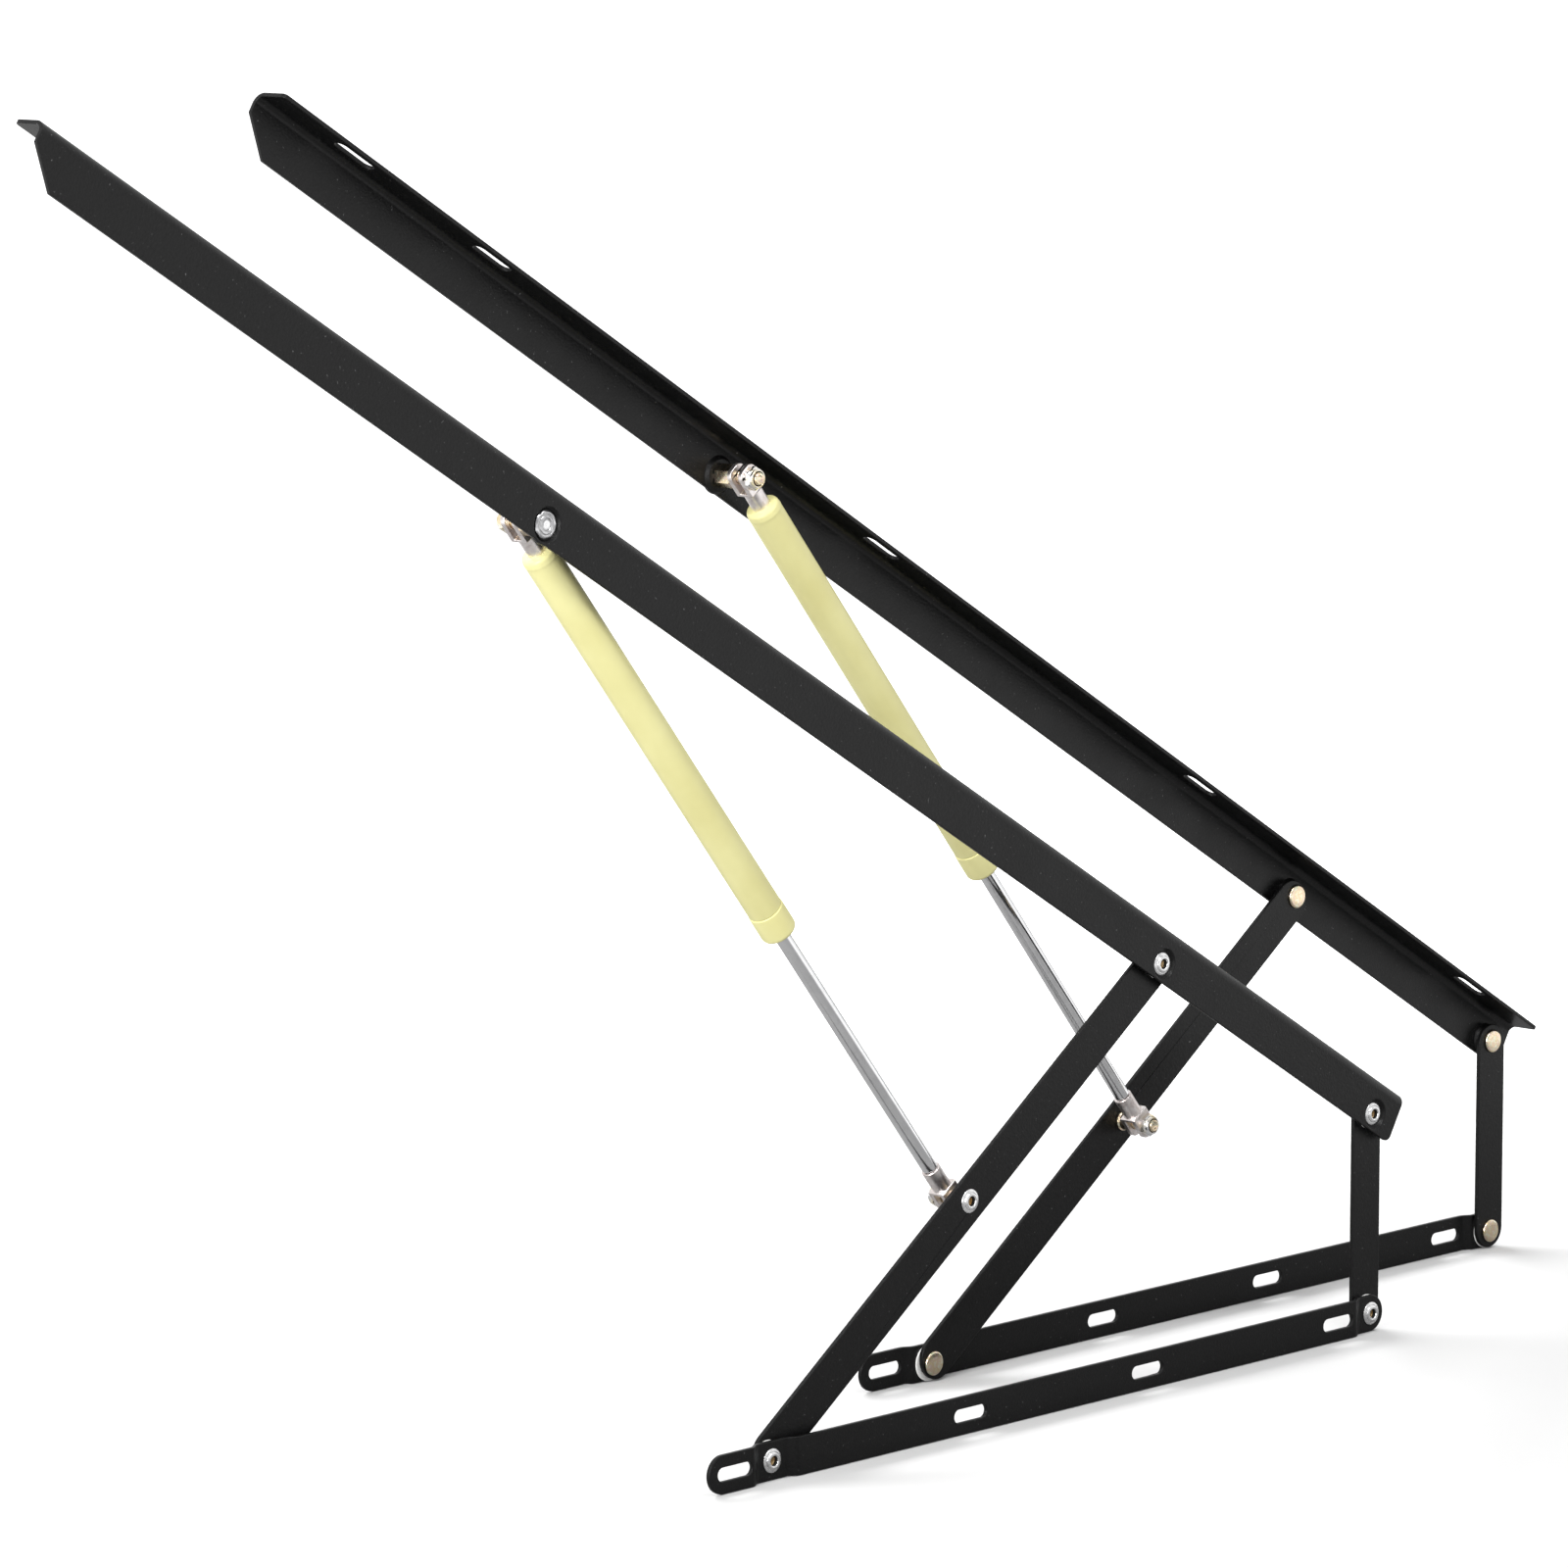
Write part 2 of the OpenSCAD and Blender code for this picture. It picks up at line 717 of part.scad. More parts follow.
pair("base_bar") base_bar();
pair("base_rivets") base_rivets();
pair("base_washers") base_washers();
pair("base_spacers") base_spacers();
pair("front_link") front_link();
pair("rear_link") rear_link();
pair("lift_rail") lift_rail();
pair("rail_spacers") rail_spacers();
pair("rail_washers") rail_washers();
pair("rear_rail_rivet") rear_rail_rivet();
pair("front_rail_rivet_head") front_rail_rivet_head();
pair("front_rail_rivet_tail") front_rail_rivet_tail();
pair("upper_stud") upper_stud();
pair("upper_nut") upper_nut();
pair("lower_stud") lower_stud();
pair("lower_stud_tail") lower_stud_tail();
pair("lower_stud_washer") lower_stud_washer();
pair("lower_nut") lower_nut();
pair("upper_fork") upper_fork();
pair("lower_fork") lower_fork();
pair("gas_tube") gas_tube();
pair("end_collar") end_collar();
pair("rod_guide") rod_guide();
pair("rod_seal") rod_seal();
pair("piston") piston();
pair("piston_rod") piston_rod();
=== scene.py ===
"""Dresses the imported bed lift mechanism: rounded coated bars, zinc pivots, painted gas springs and a studio."""

import json
import logging
import math
from dataclasses import dataclass, field
from enum import Enum
from functools import partial
from typing import Callable

import bmesh
import bpy
import numpy as np
from mathutils import Matrix, Vector


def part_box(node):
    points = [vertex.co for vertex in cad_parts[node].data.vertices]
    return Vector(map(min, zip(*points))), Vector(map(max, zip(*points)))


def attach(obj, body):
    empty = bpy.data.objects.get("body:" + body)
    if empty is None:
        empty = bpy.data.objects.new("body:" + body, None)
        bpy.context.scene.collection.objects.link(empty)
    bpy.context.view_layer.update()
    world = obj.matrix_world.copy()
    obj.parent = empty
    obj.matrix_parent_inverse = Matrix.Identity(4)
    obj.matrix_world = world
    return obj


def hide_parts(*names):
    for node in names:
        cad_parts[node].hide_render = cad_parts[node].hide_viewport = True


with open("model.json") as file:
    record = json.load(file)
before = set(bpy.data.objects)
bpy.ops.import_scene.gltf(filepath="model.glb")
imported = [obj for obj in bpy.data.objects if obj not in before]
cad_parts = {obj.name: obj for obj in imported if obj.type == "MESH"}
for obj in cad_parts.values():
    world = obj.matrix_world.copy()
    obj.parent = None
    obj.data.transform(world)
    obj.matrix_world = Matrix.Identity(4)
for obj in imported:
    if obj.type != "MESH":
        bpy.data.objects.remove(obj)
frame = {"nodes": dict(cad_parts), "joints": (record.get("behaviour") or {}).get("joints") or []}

LOG = logging.getLogger("bed_lift")
MM = 0.001
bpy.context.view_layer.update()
WHITE = (1.0, 1.0, 1.0, 1.0)
NOISE_MIDDLE = (0.3, 0.7)
MOST_CUT = 0.4
LEAST_GAP = 1e-9
POLE_SPAN = 1e-7
SHARP_TURNED = 38.0
SHARP_HEXAGON = 30.0

Point = tuple[float, float]
Offsets = tuple[Point, ...]
Profile = list[Point]
Vec = tuple[float, float, float]
Socket = bpy.types.NodeSocket
Pair = tuple[np.ndarray, np.ndarray]
Bend = Callable[[np.ndarray, np.ndarray, np.ndarray], Pair]


class Side(Enum):
    """The two lift units: the right one stands in front, the left one is its mirror image behind it."""

    RIGHT = "right"
    LEFT = "left"


class Fineness(Enum):
    """Steps round the axis of a turned piece."""

    ROD = 64
    PIVOT = 72
    FINE = 96
    BEATEN = 120


class Tone(Enum):
    """Linear colours of the finishes, dark to light."""

    COAT_DEEP = (0.0016, 0.0016, 0.0017)
    COAT = (0.0034, 0.0034, 0.0035)
    COAT_FLECK = (0.12, 0.12, 0.121)
    ZINC_SHADE = (0.36, 0.36, 0.37)
    ZINC_WORN = (0.5, 0.5, 0.51)
    ZINC_DULL = (0.72, 0.72, 0.73)
    ZINC = (0.86, 0.86, 0.865)
    ZINC_BRIGHT = (0.95, 0.95, 0.95)
    # Gold zinc darkened for the rivet bores' bottom: painted shade.
    GOLD_DEEP = (0.44, 0.24, 0.08)
    GOLD = (0.83, 0.69, 0.42)
    GOLD_PALE = (0.9, 0.84, 0.7)
    GOLD_ROSE = (0.84, 0.64, 0.54)
    GOLD_GREEN = (0.72, 0.74, 0.48)
    FORK_SHADE = (0.64, 0.565, 0.54)
    FORK = (0.8, 0.74, 0.72)
    FORK_LIGHT = (0.9, 0.86, 0.85)
    NYLON_SHADE = (0.8, 0.8, 0.78)
    NYLON = (0.88, 0.88, 0.865)
    PAINT_SHADE = (0.77, 0.725, 0.33)
    PAINT = (0.83, 0.79, 0.385)
    CHROME_SHADE = (0.79, 0.79, 0.8)
    CHROME = (0.85, 0.85, 0.86)
    STEEL_SHADE = (0.3, 0.3, 0.3)
    STEEL = (0.48, 0.48, 0.47)
    RUBBER_SHADE = (0.012, 0.012, 0.012)
    RUBBER = (0.026, 0.026, 0.026)

    @property
    def rgba(self) -> tuple[float, float, float, float]:
        """The tone as a shader colour."""
        return (*self.value, 1.0)


Stops = tuple[tuple[float, Tone], ...]


@dataclass(frozen=True)
class Grain:
    """A noise pattern on a piece's own coordinates.

    Fields: grains per metre, finer layers on top of the first, distortion, how much closer the grains lie along
    each axis, and the turn about Y in radians, for a pattern along a sloping part.
    """

    scale: float
    detail: float = 2.0
    warp: float = 0.0
    stretch: Vec = (1.0, 1.0, 1.0)
    turn: float = 0.0


def ranged(tree: bpy.types.NodeTree, value: Socket, source: Point, target: Point,
           kind: str = "LINEAR") -> Socket:
    """Carries a value from one range to another.

    Args:
        tree: the tree that the node goes into.
        value: the value.
        source: its range.
        target: the result's range.
        kind: the way from end to end.

    Returns:
        The ranged value.
    """
    node = tree.nodes.new("ShaderNodeMapRange")
    node.interpolation_type = kind
    for name, number in zip(("From Min", "From Max", "To Min", "To Max"), (*source, *target)):
        node.inputs[name].default_value = number
    tree.links.new(value, node.inputs["Value"])
    return node.outputs["Result"]


class Sheet:
    """One material's node tree, with short ways to add the nodes that the finishes share."""

    def __init__(self, name: str) -> None:
        """Makes an empty material.

        Args:
            name: the finish's name.
        """
        self.material = bpy.data.materials.new(name)
        self.material.use_nodes = True
        self.tree = self.material.node_tree
        self.shader = self.tree.nodes["Principled BSDF"]
        self.place = self.tree.nodes.new("ShaderNodeTexCoord").outputs["Object"]

    def plug(self, name: str, value: object) -> None:
        """Sets a shader socket to a constant, or links an output to it.

        Args:
            name: the shader's socket.
            value: a number, a colour or another node's output.
        """
        if isinstance(value, Socket):
            self.tree.links.new(value, self.shader.inputs[name])
        else:
            self.shader.inputs[name].default_value = value

    def noise(self, grain: Grain) -> Socket:
        """Adds a noise pattern.

        Args:
            grain: the pattern.

        Returns:
            The noise value, 0 to 1.
        """
        mapping = self.tree.nodes.new("ShaderNodeMapping")
        mapping.inputs["Rotation"].default_value = (0.0, grain.turn, 0.0)
        mapping.inputs["Scale"].default_value = grain.stretch
        node = self.tree.nodes.new("ShaderNodeTexNoise")
        node.inputs["Scale"].default_value = grain.scale
        node.inputs["Detail"].default_value = grain.detail
        node.inputs["Distortion"].default_value = grain.warp
        self.tree.links.new(self.place, mapping.inputs["Vector"])
        self.tree.links.new(mapping.outputs["Vector"], node.inputs["Vector"])
        return node.outputs["Fac"]

    def ramp(self, value: Socket, stops: Stops) -> Socket:
        """Turns a value into a colour.

        Args:
            value: the value, 0 to 1.
            stops: places along the value and their tones, in order.

        Returns:
            The colour output.
        """
        node = self.tree.nodes.new("ShaderNodeValToRGB")
        bar = node.color_ramp
        while len(bar.elements) < len(stops):
            bar.elements.new(0.5)
        for element, (place, tone) in zip(bar.elements, stops):
            element.position = place
            element.color = tone.rgba
        self.tree.links.new(value, node.inputs["Fac"])
        return node.outputs["Color"]

    def relief(self, height: Socket, depth: float, strength: float, under: Socket | None = None) -> Socket:
        """Makes a bump from a height.

        Args:
            height: the height value, 0 to 1.
            depth: height of a full step, in metres.
            strength: share of the bump that is used.
            under: a coarser bump's normal below this one.

        Returns:
            The normal output.
        """
        node = self.tree.nodes.new("ShaderNodeBump")
        node.inputs["Strength"].default_value = strength
        node.inputs["Distance"].default_value = depth
        self.tree.links.new(height, node.inputs["Height"])
        if under is not None:
            self.tree.links.new(under, node.inputs["Normal"])
        return node.outputs["Normal"]


@dataclass(frozen=True)
class Finish:
    """A finish: tones along a mottle, a sheen that differs in patches, and a grain that stands up a little.

    Fields: name, tones, the mottle's pattern, the roughness range and its pattern, the grain's pattern, depth
    in metres and strength, then how metallic it is and its specular level.
    """

    name: str
    tones: Stops
    mottle: Grain
    sheen: Point
    patches: Grain
    grain: Grain
    depth: float
    strength: float
    metallic: float = 0.0
    specular: float = 0.5

    def surface(self, sheet: Sheet) -> Socket:
        """The normal over the grain."""
        return sheet.relief(sheet.noise(self.grain), self.depth, self.strength)

    def make(self) -> bpy.types.Material:
        """Builds the material.

        Returns:
            The material.
        """
        sheet = Sheet(self.name)
        sheet.plug("Base Color", sheet.ramp(sheet.noise(self.mottle), self.tones))
        sheet.plug("Metallic", self.metallic)
        sheet.plug("Specular IOR Level", self.specular)
        sheet.plug("Roughness", ranged(sheet.tree, sheet.noise(self.patches), NOISE_MIDDLE, self.sheen))
        sheet.plug("Normal", self.surface(sheet))
        return sheet.material


@dataclass(frozen=True)
class Plated(Finish):
    """A zinc-plated metal: mottled, its grain small hammer marks, with fine slanting scratches on top."""

    mottle: Grain = Grain(330.0, 3.0, warp=0.6)
    sheen: Point = (0.20, 0.32)
    patches: Grain = Grain(900.0)
    grain: Grain = Grain(420.0, 1.0)
    depth: float = 0.00005
    strength: float = 0.5
    metallic: float = 1.0
    scratches: Grain = Grain(1200.0, 1.0, stretch=(1.0, 1.0, 0.12), turn=0.6)
    scratch_depth: float = 0.000006
    scratch_strength: float = 0.3

    def surface(self, sheet: Sheet) -> Socket:
        """The normal over the scratches, with the hammer marks under them."""
        marks = super().surface(sheet)
        return sheet.relief(sheet.noise(self.scratches), self.scratch_depth, self.scratch_strength, marks)


@dataclass(frozen=True)
class Moulded(Finish):
    """A plain moulded or drawn material: two close tones, an uneven sheen and a light grain."""

    mottle: Grain = Grain(300.0)
    sheen: Point = (0.40, 0.55)
    patches: Grain = Grain(500.0)
    grain: Grain = Grain(1200.0, 1.0)
    depth: float = 0.00004
    strength: float = 0.4
    specular: float = 0.4


def ground_chrome(slope: float) -> Finish:
    """Hard chrome on a rod that slopes by an angle in radians: fine grinding rings across it, a soft mottle."""
    return Finish("rod_chrome", ((0.32, Tone.CHROME_SHADE), (0.60, Tone.CHROME)), mottle=Grain(160.0),
                  sheen=(0.13, 0.17), patches=Grain(120.0), depth=0.000001, strength=0.15, metallic=1.0,
                  grain=Grain(900.0, 1.0, stretch=(1.0, 0.02, 0.02), turn=slope))


# Satin powder coat: orange-peel grain, a few pale flecks, patches a little duller.
COAT = Finish("black_coat",
              ((0.30, Tone.COAT_DEEP), (0.50, Tone.COAT), (0.70, Tone.COAT), (0.78, Tone.COAT_FLECK)),
              mottle=Grain(520.0, 3.0), sheen=(0.35, 0.42), patches=Grain(35.0, 3.0), grain=Grain(650.0),
              depth=0.00030, strength=0.55, specular=0.25)
# Pale yellow stove enamel on the gas springs, with a faint orange peel.
ENAMEL = Finish("tube_paint", ((0.30, Tone.PAINT_SHADE), (0.62, Tone.PAINT)), mottle=Grain(28.0, 3.0),
                sheen=(0.32, 0.42), patches=Grain(60.0), grain=Grain(650.0, 1.0), depth=0.00005, strength=0.35,
                specular=0.45)
SILVER = Plated("bright_zinc", ((0.30, Tone.ZINC_DULL), (0.48, Tone.ZINC), (0.66, Tone.ZINC_BRIGHT)),
                depth=0.00001)
WORN = Plated("riveted_zinc", ((0.30, Tone.ZINC_SHADE), (0.50, Tone.ZINC_WORN), (0.70, Tone.ZINC_DULL)),
              depth=0.00002)
GOLDEN = Plated("yellow_zinc", ((0.30, Tone.GOLD_GREEN), (0.40, Tone.GOLD_PALE), (0.50, Tone.GOLD),
                                (0.60, Tone.GOLD_ROSE), (0.70, Tone.GOLD_PALE)),
                sheen=(0.17, 0.25), depth=0.000006)
PALE = Plated("nut_zinc", ((0.36, Tone.GOLD), (0.48, Tone.GOLD_PALE), (0.60, Tone.ZINC_BRIGHT)),
              mottle=Grain(110.0, 3.0, warp=0.6), sheen=(0.14, 0.20), depth=0.000003)
# The rivet bore's bottom: the rivet's gold zinc, made darker as painted shade in the recess.
BORE_GOLD_AND_SHADE = Plated("rivet_bore", ((0.36, Tone.GOLD_DEEP), (0.80, Tone.GOLD)), sheen=(0.25, 0.40))
PINKISH = Plated("fork_zinc", ((0.30, Tone.FORK_SHADE), (0.46, Tone.FORK), (0.68, Tone.FORK_LIGHT)),
                 mottle=Grain(220.0, 3.0, warp=0.6), sheen=(0.28, 0.40), depth=0.00001)
NYLON = Moulded("nylon", ((0.3, Tone.NYLON_SHADE), (0.65, Tone.NYLON)))
STEEL = Moulded("plain_steel", ((0.3, Tone.STEEL_SHADE), (0.65, Tone.STEEL)), sheen=(0.25, 0.40), metallic=1.0)
RUBBER = Moulded("seal_rubber", ((0.3, Tone.RUBBER_SHADE), (0.65, Tone.RUBBER)), sheen=(0.55, 0.70))
# Rivet slots: gold head, silver tail, the bore's bottom in shaded gold, and near-black rubber on the bore's wall
# as painted shade.
RIVETED_WITH_BORE_SHADE = [GOLDEN, SILVER, BORE_GOLD_AND_SHADE, RUBBER]


class Paintbox:
    """Makes each finish once and hands it out by name."""

    def __init__(self) -> None:
        """Starts with no material made."""
        self.made: dict[str, bpy.types.Material] = {}

    def get(self, finish: Finish) -> bpy.types.Material:
        """Finds a finish's material, made at the first call.

        Args:
            finish: the finish.

        Returns:
            Its material.
        """
        if finish.name not in self.made:
            self.made[finish.name] = finish.make()
        return self.made[finish.name]


PAINTS = Paintbox()


@dataclass(frozen=True)
class Spindle:
    """A turning axis in world millimetres: a point on it, its direction, and where angle zero lies."""

    point: Vec
    along: Vec
    zero: Vec

    def carry(self, radius: np.ndarray, height: np.ndarray, angle: np.ndarray) -> np.ndarray:
        """Places a turned grid: point + along * height + radius * (zero * cos + (along x zero) * sin).

        Args:
            radius: radii, (rows, columns).
            height: heights along the axis, (rows, columns).
            angle: angles, (columns,).

        Returns:
            Points, (rows, columns, 3).
        """
        along, zero = np.array(self.along), np.array(self.zero)
        third = np.cross(along, zero)
        spoke = np.cos(angle)[:, None] * zero + np.sin(angle)[:, None] * third
        return np.array(self.point) + height[..., None] * along + radius[..., None] * spoke


def hexagon(across: float, radius: np.ndarray, height: np.ndarray, angle: np.ndarray) -> Pair:
    """Cuts a turned grid to a hexagon bar: the lesser of the radius and half / cos(angle to the flat)."""
    off = np.mod(angle + math.pi / 6, math.pi / 3) - math.pi / 6
    return np.minimum(radius, across / 2 / np.cos(off)), height


def steps_at(radius: float, height: float, offsets: Offsets) -> Profile:
    """A stretch of a profile: a radius and a height, plus each of the offsets."""
    return [(radius + out, height + up) for out, up in offsets]


def rounded(profile: Profile, cut: float, ring: bool, steps: int = 3) -> Pair:
    """Rounds a profile's corners: each b becomes (1-t)^2 a + 2t(1-t) b + t^2 c between cut-back points a and c.

    Args:
        profile: corners as (radius, height), in millimetres.
        cut: how far a corner is cut back along its two edges, at most.
        ring: whether the last corner joins the first.
        steps: parts of each curve.

    Returns:
        The points, and the corner that each came from.
    """
    corners = np.array(profile, float)
    ends = []
    for near in (np.roll(corners, 1, axis=0), np.roll(corners, -1, axis=0)):
        gap = np.linalg.norm(near - corners, axis=1, keepdims=True)
        ends.append(corners + (near - corners) * np.minimum(MOST_CUT, cut / np.maximum(gap, LEAST_GAP)))
    a, b, c = ends[0][:, None], corners[:, None], ends[1][:, None]
    t = np.linspace(0.0, 1.0, steps + 1)[None, :, None]
    points = ((1 - t) ** 2 * a + 2 * t * (1 - t) * b + t ** 2 * c).reshape(-1, 2)
    source = np.repeat(np.arange(len(corners)), steps + 1)
    if not ring:
        keep = np.ones(len(source), bool)
        keep[1:steps + 1] = False
        keep[-steps - 1:-1] = False
        points[0], points[-1] = corners[0], corners[-1]
        points, source = points[keep], source[keep]
    return points, source


@dataclass(frozen=True)
class Turn:
    """One turned surface: a profile, its corners rounded, carried round a spindle.

    Fields: the axis, the corners as (radius, height), which start and end on the axis unless they form a ring,
    the corner rounding, the steps round the axis, the material slot from a corner on where it isn't 0, whether
    the profile is a ring, as a washer's is, and a change of the turned grid, such as a hexagon's flats.
    """

    spindle: Spindle
    profile: Profile
    soft: float
    fineness: Fineness = Fineness.PIVOT
    slots: dict[int, int] = field(default_factory=dict)
    ring: bool = False
    bend: Bend | None = None


class Skin:
    """Gathers closed surfaces, worked out as grids of points, into one mesh object."""

    def __init__(self) -> None:
        """Starts with no surface."""
        self.points: list[np.ndarray] = []
        self.faces: list[list[int]] = []
        self.slots: list[int] = []
        self.count = 0

    def grid(self, points: np.ndarray, slots: np.ndarray, ring: bool) -> None:
        """Adds one closed surface: columns run round it, rows run along it, a row of equal points is a pole.

        Args:
            points: (rows, columns, 3) in millimetres.
            slots: material slot of each band of faces.
            ring: whether the last row joins the first, else both ends are poles.
        """
        rows, columns = points.shape[:2]
        index = np.arange(rows * columns).reshape(rows, columns)
        pole = np.ptp(points, axis=1).max(axis=1) < POLE_SPAN
        index[pole] = index[pole][:, :1]
        low = index if ring else index[:-1]
        high = np.roll(index, -1, axis=0) if ring else index[1:]
        quads = np.stack([low, np.roll(low, -1, 1), np.roll(high, -1, 1), high], axis=-1).reshape(-1, 4)
        bands = np.repeat(slots[:len(low)], columns)
        flat = points.reshape(-1, 3)
        a, b, c, d = (flat[quads[:, k]] for k in range(4))
        volume = (a * (np.cross(b, c) + np.cross(c, d))).sum()
        if volume < 0:
            quads = quads[:, ::-1]
        used, quads = np.unique(quads, return_inverse=True)
        quads = quads.reshape(-1, 4) + self.count
        first, last = quads[:, 0] == quads[:, 1], quads[:, 2] == quads[:, 3]
        whole = ~(first | last)
        for mask, pick in ((whole, [0, 1, 2, 3]), (first, [0, 2, 3]), (last, [0, 1, 2])):
            self.faces += quads[mask][:, pick].tolist()
            self.slots += bands[mask].tolist()
        self.points.append(flat[used])
        self.count += len(used)

    def add(self, turn: Turn) -> None:
        """Adds a turned surface.

        Args:
            turn: the surface.
        """
        columns = turn.fineness.value
        points, source = rounded(turn.profile, turn.soft, turn.ring)
        angle = np.arange(columns) * (2 * math.pi / columns)
        radius = np.repeat(points[:, :1], columns, axis=1)
        height = np.repeat(points[:, 1:], columns, axis=1)
        if turn.bend is not None:
            radius, height = turn.bend(radius, height, angle)
        table = np.zeros(len(turn.profile), int)
        for corner, slot in turn.slots.items():
            table[corner:] = slot
        self.grid(turn.spindle.carry(radius, height, angle), table[source], turn.ring)

    def build(self, name: str, finishes: list[Finish], sharp: float) -> bpy.types.Object:
        """Makes the mesh object, smooth but for edges sharper than the given angle.

        Args:
            name: the piece's name.
            finishes: the finishes in slot order.
            sharp: least angle of an edge that stays sharp, in degrees.

        Returns:
            The object, with its place in its mesh.
        """
        mesh = bpy.data.meshes.new(name)
        mesh.from_pydata(np.concatenate(self.points) * MM, [], self.faces)
        mesh.polygons.foreach_set("material_index", np.array(self.slots, np.int32))
        mesh.polygons.foreach_set("use_smooth", np.ones(len(self.faces), bool))
        mesh.set_sharp_from_angle(angle=math.radians(sharp))
        mesh.update()
        for finish in finishes:
            mesh.materials.append(PAINTS.get(finish))
        piece = bpy.data.objects.new(name, mesh)
        bpy.context.scene.collection.objects.link(piece)
        return piece


@dataclass(frozen=True)
class Unit:
    """One lift unit: how its node names start, where its mounting plane lies and where its pivots are."""

    side: Side

    def node(self, piece: str) -> str:
        """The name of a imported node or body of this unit."""
        return f"{self.side.value}_{piece}"

    def joint(self, name: str) -> dict:
        """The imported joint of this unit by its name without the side."""
        return next(j for j in frame["joints"] if j["name"] == self.node(name))

    @property
    def inward(self) -> float:
        """The sign of Y that points from the mounting plane into the bed."""
        return 1.0 if self.side is Side.RIGHT else -1.0

    @property
    def plane(self) -> float:
        """The mounting plane's Y in millimetres: the base bar's outer face."""
        low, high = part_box(self.node("base_bar"))
        return (low.y if self.side is Side.RIGHT else high.y) / MM

    def levels(self, piece: str) -> Point:
        """How far a node lies inward of the mounting plane: its outer and inner level in millimetres."""
        depths = sorted((corner.y / MM - self.plane) * self.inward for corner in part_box(self.node(piece)))
        return depths[0], depths[1]

    def middle(self, piece: str) -> Point:
        """A node's middle seen from the side, as (x, z) in millimetres."""
        low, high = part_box(self.node(piece))
        return (low.x + high.x) / 2 / MM, (low.z + high.z) / 2 / MM

    def pivot(self, joint: str) -> Point:
        """A hinge's place seen from the side, as (x, z) in millimetres."""
        place = self.joint(joint)["pos_m"]
        return place[0] / MM, place[2] / MM

    def cross(self, place: Point) -> Spindle:
        """A spindle across the unit at a place, with heights counted inward from the mounting plane."""
        return Spindle((place[0], self.plane, place[1]), (0.0, self.inward, 0.0), (1.0, 0.0, 0.0))

    def through(self, piece: str) -> Spindle:
        """A spindle across the unit through a node's middle."""
        return self.cross(self.middle(piece))

    def slope(self) -> np.ndarray:
        """The gas spring's direction, from its upper to its lower pivot."""
        axis = self.joint("rod_slide")["axis"]
        return -np.array(axis) / np.linalg.norm(axis)

    def spring(self) -> Spindle:
        """The gas spring's spindle, with heights counted from its upper pivot."""
        place = self.joint("spring_pivot")["pos_m"]
        return Spindle(tuple(c / MM for c in place), tuple(self.slope()), (0.0, self.inward, 0.0))

    def stations(self, piece: str) -> Point:
        """Finds where a node lies along the gas spring's spindle.

        Args:
            piece: the node without the side.

        Returns:
            Where it starts and ends, in millimetres from the upper pivot.
        """
        mesh = frame["nodes"][self.node(piece)].data
        co = np.empty(len(mesh.vertices) * 3)
        mesh.vertices.foreach_get("co", co)
        far = (co.reshape(-1, 3) / MM - np.array(self.spring().point)) @ self.slope()
        return float(far.min()), float(far.max())


@dataclass(frozen=True)
class EdgeRound:
    """Rounds a pressed piece's edges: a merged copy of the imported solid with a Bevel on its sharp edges.

    Fields: width of the rounding in metres, its segments, the least angle of an edge that gets it in degrees,
    the distance within which points merge, the angle up to which faces are flat, and the flat faces' weight.
    """

    width: float
    segments: int
    angle: float = 32.0
    merge: float = 2e-6
    flat: float = 0.3
    weight: int = 80

    def copy(self, solid: bpy.types.Object, name: str, finish: Finish) -> bpy.types.Object:
        """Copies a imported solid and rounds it.

        Args:
            solid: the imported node's object.
            name: the new piece's name.
            finish: the finish.

        Returns:
            The rounded piece.
        """
        mesh = bpy.data.meshes.new(name)
        work = bmesh.new()
        work.from_mesh(solid.data)
        bmesh.ops.remove_doubles(work, verts=work.verts, dist=self.merge)
        bmesh.ops.dissolve_limit(work, angle_limit=math.radians(self.flat), verts=work.verts, edges=work.edges)
        for face in work.faces:
            face.smooth = True
            face.material_index = 0
        work.to_mesh(mesh)
        work.free()
        mesh.materials.clear()
        mesh.materials.append(PAINTS.get(finish))
        piece = bpy.data.objects.new(name, mesh)
        bpy.context.scene.collection.objects.link(piece)
        bevel = piece.modifiers.new("edge_round", "BEVEL")
        bevel.width, bevel.segments = self.width, self.segments
        bevel.limit_method, bevel.angle_limit = "ANGLE", math.radians(self.angle)
        bevel.use_clamp_overlap = False
        bevel.miter_outer = "MITER_ARC"
        normals = piece.modifiers.new("flat_faces", "WEIGHTED_NORMAL")
        normals.keep_sharp, normals.weight = True, self.weight
        return piece


